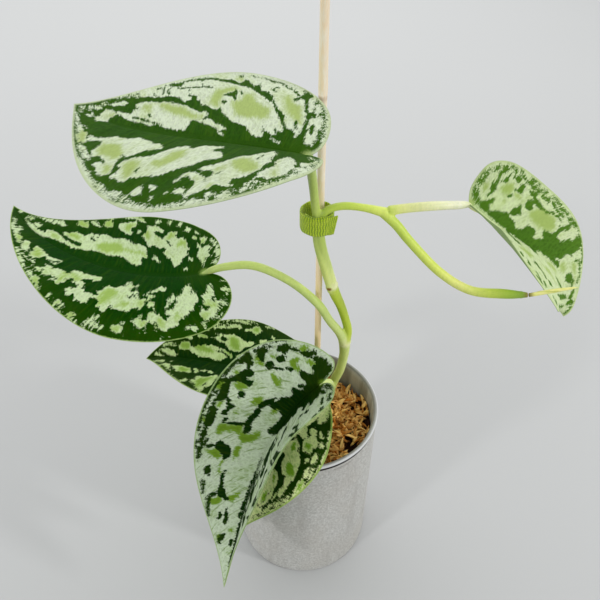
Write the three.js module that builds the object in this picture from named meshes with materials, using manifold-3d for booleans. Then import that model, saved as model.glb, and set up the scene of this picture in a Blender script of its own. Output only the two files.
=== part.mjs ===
// Satin pothos: a young trained plant with six leaves, tied to a thin bamboo stake,
// standing in dried sphagnum moss in a small straight-sided pot.
// Units are millimetres and degrees, +Z is up, and the origin is the centre of the pot's foot.

import * as THREE from 'three';
import { mergeVertices } from 'three/addons/utils/BufferGeometryUtils.js';
import Module from 'manifold-3d';

const wasm = await Module();
wasm.setup();

// ---------------------------------------------------------------- driving dimensions

const GAP = 0.3; // clearance between pieces that touch

const POT = {
  height: 113,
  radius: 39.9,
  wall: 2.2,
  floor: 4,
  footRound: 1.5,
  rimRound: 1.1, // rolled lip
  rimBand: 3.6, // height of the plain band between the two grooves
  grooveDepth: 0.5,
  sides: 56,
};

const MOSS = {
  level: 98, // mean height of its surface
  clumpHeight: 3.2,
  clumpCount: 46,
  clumpSize: 6.5,
  rings: 11,
  sides: 36,
  seed: 7,
};

const STAKE = {
  radius: 1.45,
  foot: [8, 12.4, 16],
  top: [5.1, -27, 345],
  sides: 12,
};

const TIE = {
  centre: [4.9, -17.1],
  bottom: 240.4,
  height: 7.6,
  thickness: 0.7,
  innerRadius: 5,
  startAngle: -150,
  turns: 1.25,
  tail: 4.2, // free end, straight off the coil
  tailSlant: 1.6, // how far its cut end leans back at the bottom
  stepsPerTurn: 28,
};

const BLADE = {
  thickness: 0.7,
  lobeSteps: 3, // margin stations along the notch edge
  shoulderSteps: 6, // along the rounded lobe
  tipSteps: 12, // from the widest place to the tip
  across: 4, // from the midrib to the margin
  veinSweep: 1.35, // how strongly the side veins lean towards the tip
};

// Each leaf: the midrib as a cubic Bezier from the stalk to the tip, its roll about the midrib at
// the base and the tip, the lift of its basal lobes, and for each half the angle at which it folds
// up from the midrib (base, tip), its curl towards the margin, and the flat outline: how far the
// lobe reaches back and how far out that point lies, where the half is widest and how wide, the
// roundness of the lobe, the fullness of the shoulder, and the length and angle of the taper.
const LEAVES = {
  leaf_a: {
    rib: [[0.5, -50.8, 288], [-29.8, -44.2, 291.3], [-58.5, -34.4, 284.8], [-77.4, -10.6, 285.6]],
    roll: [-5, 19],
    lift: 1,
    left: {
      fold: [23, 2], curl: -36, lobe: 5.7, lobeOut: 11.5, wideAt: 28.7, width: 35.7,
      round: 0.64, shoulder: 0.34, taper: 0.3, point: 28,
    },
    right: {
      fold: [21, 8], curl: -17, lobe: 4.1, lobeOut: 9.8, wideAt: 27.5, width: 35.7,
      round: 0.64, shoulder: 0.36, taper: 0.3, point: 29,
    },
  },
  leaf_b: {
    rib: [[-42, -7, 210], [-76, -13, 206], [-118, 4, 215], [-137, 37, 215]],
    roll: [0, -14],
    lift: -6,
    left: {
      fold: [7, 21], curl: -37, lobe: 10, lobeOut: 15, wideAt: 27, width: 36.5,
      round: 0.6, shoulder: 0.24, taper: 0.38, point: 18,
    },
    right: {
      fold: [7, 16], curl: -1, lobe: 8, lobeOut: 13.5, wideAt: 32, width: 37.5,
      round: 0.6, shoulder: 0.38, taper: 0.4, point: 16,
    },
  },
  leaf_c: {
    rib: [[-7, 8, 134], [-39, 9, 128], [-67, 25, 129], [-91, 33, 113]],
    roll: [-19, 15],
    lift: 0,
    left: {
      fold: [13, 26], curl: -21, lobe: 8.5, lobeOut: 12.5, wideAt: 22, width: 30.5,
      round: 0.58, shoulder: 0.32, taper: 0.3, point: 25,
    },
    right: {
      fold: [9, 31], curl: -11, lobe: 8, lobeOut: 12, wideAt: 23.5, width: 34.5,
      round: 0.58, shoulder: 0.34, taper: 0.28, point: 29,
    },
  },
  leaf_d: {
    rib: [[9, -21, 155], [-20, -26, 129], [-28, -49, 95], [-40, -75, 61]],
    roll: [24, -39],
    lift: -13,
    left: {
      fold: [40, 40.5], curl: 29, lobe: 7, lobeOut: 16, wideAt: 25, width: 37,
      round: 0.64, shoulder: 0.46, taper: 0.31, point: 26,
    },
    right: {
      fold: [47, 20], curl: 10, lobe: 12, lobeOut: 9.5, wideAt: 24, width: 39.5,
      round: 0.6, shoulder: 0.42, taper: 0.3, point: 28,
    },
  },
  leaf_e: {
    rib: [[5, -15, 135], [-17, -43, 122], [-20, -49, 94], [-37, -45, 58]],
    roll: [-21, 23],
    lift: -21,
    left: {
      fold: [22, 13], curl: -9, lobe: 1.5, lobeOut: 9, wideAt: 19, width: 29.5,
      round: 0.48, shoulder: 0.18, taper: 0.5, point: 5,
    },
    right: {
      fold: [9, 28], curl: -4, lobe: 3.5, lobeOut: 10, wideAt: 26, width: 45.5,
      round: 0.54, shoulder: 0.34, taper: 0.38, point: 14,
    },
  },
  leaf_f: {
    rib: [[63, -10, 246], [91, -2, 218], [124, 7, 206], [124, 4, 174]],
    roll: [-35, -41],
    lift: -8,
    left: {
      fold: [48, 8], curl: 1, lobe: 6.5, lobeOut: 13, wideAt: 29.5, width: 23.5,
      round: 0.7, shoulder: 0.58, taper: 0.42, point: 38,
    },
    right: {
      fold: [39, -7], curl: 4, lobe: 2, lobeOut: 16, wideAt: 36.5, width: 26,
      round: 0.66, shoulder: 0.5, taper: 0.36, point: 37,
    },
  },
};

// Each stalk of the vine: points of its centre line with the radius there, [x, y, z, radius].
// A node shows as a short swelling, and a sheath as a stretch that leans on the main stem.
const STALKS = {
  stem: [
    [11, 8, 84, 2.5], [13, 9.5, 100, 2.5], [16, 7, 122, 2.5], [19, 3.5, 137, 2.4], [20.2, 0.3, 152, 2.4],
    [20, -1.5, 163, 2.8], [20.8, -3, 171.5, 2.1], [19.3, -4.7, 180, 2], [16.4, -7.6, 191.5, 2.1],
    [12.8, -10.8, 203, 2.4], [9.6, -14.8, 218, 2.1], [6.7, -18.8, 232.3, 1.9], [5.6, -20.1, 242.4, 1.8],
    [6.4, -20.1, 247.2, 1.7], [9.3, -19.6, 249.9, 1.5], [14.8, -18.4, 250.4, 1.5], [22.3, -17.1, 248.7, 1.5],
    [30, -16, 246, 2],
  ],
  stalk_a: [
    [11.4, -12, 204, 1.5], [8.6, -16.2, 218, 1.7], [5, -19.2, 234.2, 1.6], [4.4, -20, 246.5, 1.6],
    [3.7, -21.5, 253.6, 1.6], [2.9, -26.5, 263.2, 1.6], [2, -35, 273.8, 1.6], [1.2, -45, 283.4, 1.5],
    [0.6, -50.3, 287.5, 1.2],
  ],
  stalk_b: [
    [20, -1.5, 161, 2.4], [16.8, -6, 173, 2.1], [11.5, -11.4, 186, 1.9], [5.6, -14.6, 199.4, 1.9],
    [-5.9, -10.5, 208, 1.8], [-20.4, -8.5, 214.6, 1.8], [-33, -7.6, 213.5, 1.7], [-42.6, -7.2, 209.8, 1.4],
  ],
  stalk_c: [[13, 9.5, 103, 2.2], [9.5, 12.6, 114, 1.8], [2, 11.6, 125, 1.7], [-7.4, 8.1, 133.4, 1.3]],
  stalk_d: [[15.6, 7.5, 118, 2.3], [14.4, -4, 132, 1.9], [12.4, -14, 147, 1.9], [8.8, -21, 154.6, 1.5]],
  stalk_e: [[13.6, 9.2, 104, 2.1], [12.6, 1, 112, 1.8], [9.4, -8.5, 124, 1.7], [4.8, -15, 134.2, 1.4]],
  stalk_f: [[29, -16, 246.2, 2], [37, -15.2, 247.2, 1.8], [48, -14.4, 247.8, 1.8], [63.4, -10.2, 245.7, 1.5]],
  tip: [
    [29, -16, 246.2, 1.9], [34.6, -17.7, 241.5, 1.9], [40, -20.4, 235.8, 1.8], [51.8, -25.4, 225.2, 1.8],
    [64, -29, 219, 1.8], [76.6, -32, 219.7, 1.9], [84.6, -33.8, 220.7, 1],
  ],
};
const NEW_LEAF = [[85, -33.9, 220.8, 0.7], [94, -33, 222, 0.7], [103.5, -31.8, 222.9, 0.5]];
const STALK_SIDES = 8;
const STALK_STEP = 4.5; // length of a stalk's facets

const COLOURS = {
  pot: ['#b9b9b5', 0.75],
  moss: ['#b07c34', 0.95],
  stake: ['#e6c695', 0.7],
  tie: ['#8aa02a', 0.85],
  vine: ['#a5bf52', 0.45],
  new_leaf: ['#e4e58c', 0.45],
  leaf: ['#6f9a58', 0.4],
};

// ---------------------------------------------------------------- small tools

const radians = THREE.MathUtils.degToRad;
const mix = THREE.MathUtils.lerp;

function seeded(seed) {
  let state = seed;
  return () => {
    state = (state * 16807) % 2147483647;
    return state / 2147483647;
  };
}

function geometryOf(points, triangles) {
  const geometry = new THREE.BufferGeometry();
  geometry.setAttribute('position', new THREE.Float32BufferAttribute(points.flatMap((p) => p.toArray()), 3));
  geometry.setIndex(triangles.flat());
  return geometry;
}

function solidOf(geometry) {
  const bare = geometry.clone();
  bare.deleteAttribute('normal');
  bare.deleteAttribute('uv');
  const merged = mergeVertices(bare, 1e-4);
  return new wasm.Manifold(new wasm.Mesh({
    numProp: 3,
    vertProperties: new Float32Array(merged.attributes.position.array),
    triVerts: new Uint32Array(merged.index.array),
  }));
}

function geometryFrom(solid) {
  const mesh = solid.getMesh();
  const geometry = new THREE.BufferGeometry();
  geometry.setAttribute('position', new THREE.BufferAttribute(new Float32Array(mesh.vertProperties), 3));
  geometry.setIndex(new THREE.BufferAttribute(new Uint32Array(mesh.triVerts), 1));
  return geometry;
}

function largestBody(solid) {
  return solid.decompose().sort((a, b) => b.volume() - a.volume())[0];
}

function meshOf(name, geometry, [colour, roughness]) {
  geometry.computeVertexNormals();
  const material = new THREE.MeshStandardMaterial({ color: colour, roughness, metalness: 0 });
  const mesh = new THREE.Mesh(geometry, material);
  mesh.name = name;
  return mesh;
}

// ---------------------------------------------------------------- stalks

// A round stalk of changing radius along a smooth line, closed at both ends.
function stalkGeometry(line, grow = 0) {
  const curve = new THREE.CatmullRomCurve3(line.map(([x, y, z]) => new THREE.Vector3(x, y, z)), false,
    'catmullrom', 0.5);
  const steps = Math.ceil(curve.getLength() / STALK_STEP);
  const points = [];
  const triangles = [];
  let across = new THREE.Vector3(1, 0.2, 0.1);
  for (let i = 0; i <= steps; i++) {
    const place = (i / steps) * (line.length - 1);
    const span = Math.min(Math.floor(place), line.length - 2);
    const radius = mix(line[span][3], line[span + 1][3], place - span) + grow;
    const centre = curve.getPoint(i / steps);
    const along = curve.getTangent(i / steps);
    across = across.clone().addScaledVector(along, -across.dot(along)).normalize();
    const other = new THREE.Vector3().crossVectors(along, across);
    for (let k = 0; k < STALK_SIDES; k++) {
      const angle = (k / STALK_SIDES) * 2 * Math.PI;
      points.push(centre.clone()
        .addScaledVector(across, radius * Math.cos(angle))
        .addScaledVector(other, radius * Math.sin(angle)));
    }
    if (i > 0) {
      for (let k = 0; k < STALK_SIDES; k++) {
        const a = (i - 1) * STALK_SIDES + k;
        const b = (i - 1) * STALK_SIDES + ((k + 1) % STALK_SIDES);
        triangles.push([a, b, b + STALK_SIDES], [a, b + STALK_SIDES, a + STALK_SIDES]);
      }
    }
  }
  const last = steps * STALK_SIDES;
  for (let k = 1; k < STALK_SIDES - 1; k++) {
    triangles.push([0, k + 1, k], [last, last + k, last + k + 1]);
  }
  return geometryOf(points, triangles);
}

// ---------------------------------------------------------------- leaves

function cubic(a, b, c, d, t) {
  const s = 1 - t;
  return [0, 1].map((i) => s * s * s * a[i] + 3 * s * s * t * b[i] + 3 * s * t * t * c[i] + t * t * t * d[i]);
}

// The flat outline of one half, from the notch round the lobe to the tip: [along, out].
function flatMargin(half, length) {
  const { lobe, lobeOut, wideAt, width, round, shoulder, taper, point } = half;
  const back = [-lobe, lobeOut];
  const widest = [wideAt, width];
  const rest = length - wideAt;
  const parts = [
    [[0, 0], [-0.45 * lobe, 0.12 * lobeOut], [-lobe, 0.35 * lobeOut], back, BLADE.lobeSteps],
    [back, [-lobe, lobeOut + round * (width - lobeOut)], [wideAt - round * (wideAt + lobe), width], widest,
      BLADE.shoulderSteps],
    [widest, [wideAt + shoulder * rest, width],
      [length - taper * rest, taper * rest * Math.tan(radians(point))], [length, 0], BLADE.tipSteps],
  ];
  const margin = [];
  for (const [a, b, c, d, steps] of parts) {
    for (let i = 1; i <= steps; i++) {
      margin.push(cubic(a, b, c, d, i / steps));
    }
  }
  return margin;
}

// A place on the blade: "along" the midrib and "out" to the left (side 1) or right (side -1).
function bladePoint(leaf, rib, length, side, along, out) {
  const half = side > 0 ? leaf.left : leaf.right;
  const f = THREE.MathUtils.clamp(along / length, 0, 1);
  const place = rib.getPointAt(f);
  const forward = rib.getTangentAt(f);
  const up = new THREE.Vector3(0, 0, 1).addScaledVector(forward, -forward.z).normalize();
  const leftward = new THREE.Vector3().crossVectors(up, forward);
  const roll = radians(mix(leaf.roll[0], leaf.roll[1], f));
  const normal = up.clone().multiplyScalar(Math.cos(roll)).addScaledVector(leftward, Math.sin(roll));
  const sideways = leftward.clone().multiplyScalar(Math.cos(roll)).addScaledVector(up, -Math.sin(roll));
  const behind = Math.min(along, 0);
  const lift = radians(leaf.lift);
  place.addScaledVector(forward, behind * Math.cos(lift)).addScaledVector(normal, -behind * Math.sin(lift));
  const fold = radians(mix(half.fold[0], half.fold[1], f));
  const bend = radians(half.curl) / half.width;
  const edge = fold + bend * out;
  const level = (Math.sin(edge) - Math.sin(fold)) / bend;
  const rise = (Math.cos(fold) - Math.cos(edge)) / bend;
  return place.addScaledVector(sideways, side * level).addScaledVector(normal, rise);
}

// The middle sheet of a blade: rows of points along its side veins, from the midrib to the margin.
function bladeSheet(leaf) {
  const rib = new THREE.CubicBezierCurve3(...leaf.rib.map((p) => new THREE.Vector3(...p)));
  const length = rib.getLength();
  const points = [];
  const triangles = [];
  const index = new Map();
  const pointAt = (side, along, out) => {
    const key = `${out > 1e-6 ? side : 0} ${along.toFixed(4)} ${out.toFixed(4)}`;
    if (!index.has(key)) {
      index.set(key, points.length);
      points.push(bladePoint(leaf, rib, length, side, along, out));
    }
    return index.get(key);
  };
  for (const side of [1, -1]) {
    const margin = flatMargin(side > 0 ? leaf.left : leaf.right, length);
    let previous = null;
    margin.forEach(([endAlong, endOut], row) => {
      const f = Math.max(0, (row - BLADE.lobeSteps) / (margin.length - 1 - BLADE.lobeSteps));
      const root = length * f ** BLADE.veinSweep;
      const bowAlong = root + 0.35 * (endAlong - root);
      const bowOut = 0.65 * endOut;
      const vein = [];
      for (let j = 0; j <= BLADE.across; j++) {
        const t = j / BLADE.across;
        const s = 1 - t;
        vein.push(pointAt(side, s * s * root + 2 * s * t * bowAlong + t * t * endAlong,
          Math.max(0, 2 * s * t * bowOut + t * t * endOut)));
      }
      if (previous) {
        for (let j = 0; j < BLADE.across; j++) {
          const quad = [previous[j], previous[j + 1], vein[j + 1], vein[j]];
          for (const [a, b, c] of [[quad[0], quad[1], quad[2]], [quad[0], quad[2], quad[3]]]) {
            if (a !== b && b !== c && c !== a) {
              triangles.push(side > 0 ? [a, c, b] : [a, b, c]);
            }
          }
        }
      }
      previous = vein;
    });
  }
  return { points, triangles };
}

// A sheet thickened to a closed blade, both faces split into triangles alike.
function thickened({ points, triangles }, thickness) {
  const faceNormals = triangles.map(([a, b, c]) => new THREE.Triangle(points[a], points[b], points[c])
    .getNormal(new THREE.Vector3()));
  const normals = points.map(() => new THREE.Vector3());
  triangles.forEach((corners, i) => corners.forEach((k) => normals[k].add(faceNormals[i])));
  normals.forEach((n) => n.normalize());
  const lean = points.map(() => 1);
  triangles.forEach((corners, i) => corners.forEach((k) => {
    lean[k] = Math.min(lean[k], normals[k].dot(faceNormals[i]));
  }));
  const offset = (p, k, sign) => p.clone()
    .addScaledVector(normals[k], (sign * thickness) / 2 / Math.max(lean[k], 0.7));
  const count = points.length;
  const both = [...points.map((p, k) => offset(p, k, 1)), ...points.map((p, k) => offset(p, k, -1))];
  const faces = [];
  const edges = new Set(triangles.flatMap(([a, b, c]) => [`${a} ${b}`, `${b} ${c}`, `${c} ${a}`]));
  for (const [a, b, c] of triangles) {
    faces.push([a, b, c], [a + count, c + count, b + count]);
    for (const [from, to] of [[a, b], [b, c], [c, a]]) {
      if (!edges.has(`${to} ${from}`)) {
        faces.push([from, from + count, to + count], [from, to + count, to]);
      }
    }
  }
  return geometryOf(both, faces);
}

function leafGeometry(leaf) {
  return thickened(bladeSheet(leaf), BLADE.thickness);
}

// ---------------------------------------------------------------- vine

// Stem, leaf stalks and growing tip, grown together, with room left for each blade.
function vineGeometry() {
  let vine = null;
  for (const line of Object.values(STALKS)) {
    const stalk = solidOf(stalkGeometry(line));
    vine = vine ? vine.add(stalk) : stalk;
  }
  for (const leaf of Object.values(LEAVES)) {
    vine = vine.subtract(solidOf(thickened(bladeSheet(leaf), BLADE.thickness + 2 * GAP)));
  }
  return geometryFrom(largestBody(vine));
}

// ---------------------------------------------------------------- pot, moss, stake and tie

function potGeometry() {
  const { height, radius, wall, floor, footRound, rimRound, rimBand, grooveDepth, sides } = POT;
  const lipBase = height - 2 * rimRound - 0.4;
  const lowGroove = lipBase - rimBand;
  const inner = radius - wall;
  const profile = [[0, 0], [radius - footRound, 0]];
  for (const angle of [-60, -30, 0]) {
    profile.push([
      radius - footRound + footRound * Math.cos(radians(angle)),
      footRound + footRound * Math.sin(radians(angle)),
    ]);
  }
  profile.push([radius, lowGroove - 0.4], [radius - 0.6 * grooveDepth, lowGroove], [radius, lowGroove + 0.4]);
  profile.push([radius, lipBase - 0.4], [radius - grooveDepth, lipBase]);
  for (const angle of [-50, 0, 50, 100, 150]) {
    profile.push([
      radius - 0.6 + rimRound * Math.cos(radians(angle)),
      height - rimRound + rimRound * Math.sin(radians(angle)),
    ]);
  }
  profile.push([inner, lipBase], [inner, floor], [0, floor]);
  const lathe = new THREE.LatheGeometry(profile.map(([r, z]) => new THREE.Vector2(r, z)), sides);
  return geometryFrom(solidOf(lathe.rotateX(Math.PI / 2)));
}

// The height of the moss at a place: soft clumps, a little lower at the pot's wall.
function mossHeights() {
  const random = seeded(MOSS.seed);
  const reach = POT.radius - POT.wall;
  const clumps = Array.from({ length: MOSS.clumpCount }, () => {
    const angle = random() * 2 * Math.PI;
    const out = reach * Math.sqrt(random());
    return { x: out * Math.cos(angle), y: out * Math.sin(angle), size: MOSS.clumpSize * (0.6 + 0.7 * random()) };
  });
  return (x, y) => {
    let rise = 0;
    for (const clump of clumps) {
      const distance = ((x - clump.x) ** 2 + (y - clump.y) ** 2) / clump.size ** 2;
      rise = Math.max(rise, Math.exp(-distance));
    }
    return MOSS.level + MOSS.clumpHeight * (rise - 0.5);
  };
}

function mossGeometry() {
  const reach = POT.radius - POT.wall - GAP;
  const bottom = POT.floor + GAP;
  const heightAt = mossHeights();
  const points = [new THREE.Vector3(0, 0, heightAt(0, 0))];
  const triangles = [];
  const at = (ring, k) => 1 + (ring - 1) * MOSS.sides + (k % MOSS.sides);
  for (let ring = 1; ring <= MOSS.rings; ring++) {
    for (let k = 0; k < MOSS.sides; k++) {
      const angle = (k / MOSS.sides) * 2 * Math.PI;
      const out = (reach * ring) / MOSS.rings;
      const x = out * Math.cos(angle);
      const y = out * Math.sin(angle);
      points.push(new THREE.Vector3(x, y, heightAt(x, y)));
      if (ring === 1) {
        triangles.push([0, at(1, k), at(1, k + 1)]);
      } else {
        triangles.push([at(ring - 1, k), at(ring, k), at(ring, k + 1)]);
        triangles.push([at(ring - 1, k), at(ring, k + 1), at(ring - 1, k + 1)]);
      }
    }
  }
  for (let k = 0; k < MOSS.sides; k++) {
    const rim = points[at(MOSS.rings, k)];
    points.push(new THREE.Vector3(rim.x, rim.y, bottom));
    triangles.push([at(MOSS.rings, k), at(MOSS.rings + 1, k), at(MOSS.rings + 1, k + 1)]);
    triangles.push([at(MOSS.rings, k), at(MOSS.rings + 1, k + 1), at(MOSS.rings, k + 1)]);
  }
  const floorCentre = points.push(new THREE.Vector3(0, 0, bottom)) - 1;
  for (let k = 0; k < MOSS.sides; k++) {
    triangles.push([floorCentre, at(MOSS.rings + 1, k + 1), at(MOSS.rings + 1, k)]);
  }
  let moss = solidOf(geometryOf(points, triangles));
  for (const line of Object.values(STALKS)) {
    moss = moss.subtract(solidOf(stalkGeometry(line, GAP)));
  }
  moss = moss.subtract(solidOf(stakeGeometry(GAP)));
  return geometryFrom(largestBody(moss));
}

function stakeGeometry(grow = 0) {
  const foot = new THREE.Vector3(...STAKE.foot);
  const top = new THREE.Vector3(...STAKE.top);
  const along = top.clone().sub(foot);
  const radius = STAKE.radius + grow;
  const stake = new THREE.CylinderGeometry(radius, radius, along.length() + 2 * grow, STAKE.sides);
  stake.applyQuaternion(new THREE.Quaternion().setFromUnitVectors(new THREE.Vector3(0, 1, 0),
    along.clone().normalize()));
  return stake.translate(...foot.add(top).multiplyScalar(0.5).toArray());
}

// A strap wound on itself a little more than once round stem and stake, with a free end.
function tieGeometry() {
  const { centre, bottom, height, thickness, innerRadius, startAngle, turns, tail, tailSlant } = TIE;
  const steps = Math.round(turns * TIE.stepsPerTurn);
  const stations = [];
  for (let i = 0; i <= steps; i++) {
    const angle = radians(startAngle) + (i / steps) * turns * 2 * Math.PI;
    const radius = innerRadius + thickness / 2 + (thickness + GAP) * (i / steps) * turns;
    stations.push({
      x: centre[0] + radius * Math.cos(angle),
      y: centre[1] + radius * Math.sin(angle),
      outX: Math.cos(angle),
      outY: Math.sin(angle),
      slant: 0,
    });
  }
  const end = stations[stations.length - 1];
  for (const part of [0.5, 1]) {
    stations.push({
      ...end,
      x: end.x - end.outY * tail * part,
      y: end.y + end.outX * tail * part,
      slant: part * tailSlant,
    });
  }
  const points = [];
  const triangles = [];
  stations.forEach(({ x, y, outX, outY, slant }, i) => {
    for (const [outward, level] of [[-0.5, 0], [0.5, 0], [0.5, 1], [-0.5, 1]]) {
      const back = level === 0 ? slant : 0;
      points.push(new THREE.Vector3(
        x + outward * thickness * outX + back * outY,
        y + outward * thickness * outY - back * outX,
        bottom + level * height,
      ));
    }
    for (let k = 0; k < 4 && i > 0; k++) {
      const a = (i - 1) * 4 + k;
      const b = (i - 1) * 4 + ((k + 1) % 4);
      triangles.push([a, b + 4, b], [a, a + 4, b + 4]);
    }
  });
  const last = (stations.length - 1) * 4;
  triangles.push([0, 1, 2], [0, 2, 3], [last, last + 2, last + 1], [last, last + 3, last + 2]);
  return geometryOf(points, triangles);
}

// ---------------------------------------------------------------- the plant

const plant = new THREE.Group();
plant.add(meshOf('pot', potGeometry(), COLOURS.pot));
plant.add(meshOf('moss', mossGeometry(), COLOURS.moss));
plant.add(meshOf('stake', stakeGeometry(), COLOURS.stake));
plant.add(meshOf('tie', tieGeometry(), COLOURS.tie));
plant.add(meshOf('vine', vineGeometry(), COLOURS.vine));
plant.add(meshOf('new_leaf', stalkGeometry(NEW_LEAF), COLOURS.new_leaf));
for (const [name, leaf] of Object.entries(LEAVES)) {
  plant.add(meshOf(name, leafGeometry(leaf), COLOURS.leaf));
}

export default plant;
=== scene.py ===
"""The finished look of a satin pothos on a stake: leaves, vine, tie, stake, moss and pot.

Tables are in millimetres and degrees, like the solids that these pieces stand for. The pieces
themselves are made in metres, Z up, with the centre of the pot's foot at the origin.
"""

from math import cos, pi, radians, sin, tan

import bpy
import numpy as np
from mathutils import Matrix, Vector


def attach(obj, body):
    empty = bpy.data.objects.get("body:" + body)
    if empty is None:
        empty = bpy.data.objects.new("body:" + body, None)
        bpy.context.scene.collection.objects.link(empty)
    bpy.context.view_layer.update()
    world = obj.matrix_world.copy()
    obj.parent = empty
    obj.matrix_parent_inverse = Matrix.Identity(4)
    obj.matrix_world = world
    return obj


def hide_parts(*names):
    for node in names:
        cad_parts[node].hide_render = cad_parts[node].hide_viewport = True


MM = 0.001

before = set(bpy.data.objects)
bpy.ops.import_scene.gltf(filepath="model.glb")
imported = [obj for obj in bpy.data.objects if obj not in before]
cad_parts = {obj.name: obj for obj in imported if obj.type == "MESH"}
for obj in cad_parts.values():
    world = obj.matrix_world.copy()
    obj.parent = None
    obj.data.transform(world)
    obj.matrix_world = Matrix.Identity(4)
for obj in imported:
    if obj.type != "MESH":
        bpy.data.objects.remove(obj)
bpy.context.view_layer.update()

# ---------------------------------------------------------------- camera

CAMERA_PLACE = (-0.001647, -0.204612, 0.370245)
CAMERA_TILT = 48.324  # degrees up from looking straight down
CAMERA_LENS = 36  # as long as the sensor is wide

camera_data = bpy.data.cameras.new("camera")
camera_data.sensor_width = CAMERA_LENS
camera_data.lens = CAMERA_LENS
camera_data.clip_start = 0.01
camera = bpy.data.objects.new("camera", camera_data)
camera.location = CAMERA_PLACE
camera.rotation_euler = (radians(CAMERA_TILT), 0, 0)
bpy.context.scene.collection.objects.link(camera)
bpy.context.scene.camera = camera
bpy.context.scene.view_settings.view_transform = "Standard"

# ---------------------------------------------------------------- sizes, as in the solids

POT_HEIGHT, POT_RADIUS, POT_WALL, POT_FLOOR = 113, 39.9, 2.2, 4
POT_FOOT_ROUND, POT_RIM_ROUND, POT_RIM_BAND, POT_GROOVE = 1.5, 1.1, 3.6, 0.5
MOSS_LEVEL = 98
STAKE_RADIUS = 1.45
STAKE_KNOT = 292
STAKE_FOOT, STAKE_TOP = (8, 12.4, 16), (5.1, -27, 345)
TIE_CENTRE, TIE_BOTTOM, TIE_HEIGHT, TIE_THICKNESS = (4.9, -17.1), 240.4, 7.6, 0.7
TIE_INNER, TIE_START, TIE_TURNS, TIE_TAIL, TIE_SLANT = 5, -150, 1.25, 4.2, 1.6
BLADE_THICKNESS = 0.5
VEIN_SWEEP = 1.35

# Each leaf: midrib as a cubic Bezier, roll at base and tip, lift of the lobes behind the stalk.
# Each half, left then right: fold at base and tip, curl, lobe, lobe out, wide at, width,
# roundness, shoulder, taper, point.
LEAVES = {
    "leaf_a": {
        "rib": [(0.5, -50.8, 288), (-29.8, -44.2, 291.3), (-58.5, -34.4, 284.8), (-77.4, -10.6, 285.6)],
        "roll": (-5, 19), "lift": 1,
        "halves": [(23, 2, -36, 5.7, 11.5, 28.7, 35.7, 0.64, 0.34, 0.3, 28),
                   (21, 8, -17, 4.1, 9.8, 27.5, 35.7, 0.64, 0.36, 0.3, 29)],
    },
    "leaf_b": {
        "rib": [(-42, -7, 210), (-76, -13, 206), (-118, 4, 215), (-137, 37, 215)],
        "roll": (0, -14), "lift": -6,
        "halves": [(7, 21, -37, 10, 15, 27, 36.5, 0.6, 0.24, 0.38, 18),
                   (7, 16, -1, 8, 13.5, 32, 37.5, 0.6, 0.38, 0.4, 16)],
    },
    "leaf_c": {
        "rib": [(-7, 8, 134), (-39, 9, 128), (-67, 25, 129), (-91, 33, 113)],
        "roll": (-19, 15), "lift": 0,
        "halves": [(13, 26, -21, 8.5, 12.5, 22, 30.5, 0.58, 0.32, 0.3, 25),
                   (9, 31, -11, 8, 12, 23.5, 34.5, 0.58, 0.34, 0.28, 29)],
    },
    "leaf_d": {
        "rib": [(9, -21, 155), (-20, -26, 129), (-28, -49, 95), (-40, -75, 61)],
        "roll": (24, -39), "lift": -13,
        "halves": [(40, 40.5, 29, 7, 16, 25, 37, 0.64, 0.46, 0.31, 26),
                   (47, 20, 10, 12, 9.5, 24, 39.5, 0.6, 0.42, 0.3, 28)],
    },
    "leaf_e": {
        "rib": [(5, -15, 135), (-17, -43, 122), (-20, -49, 94), (-37, -45, 58)],
        "roll": (-21, 23), "lift": -21,
        "halves": [(22, 13, -9, 1.5, 9, 19, 29.5, 0.48, 0.18, 0.5, 5),
                   (9, 28, -4, 3.5, 10, 26, 45.5, 0.54, 0.34, 0.38, 14)],
    },
    "leaf_f": {
        "rib": [(63, -10, 246), (91, -2, 218), (124, 7, 206), (124, 4, 174)],
        "roll": (-35, -41), "lift": -8,
        "halves": [(48, 8, 1, 6.5, 13, 29.5, 23.5, 0.7, 0.58, 0.42, 38),
                   (39, -7, 4, 2, 16, 36.5, 26, 0.66, 0.5, 0.36, 37)],
    },
}

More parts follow.
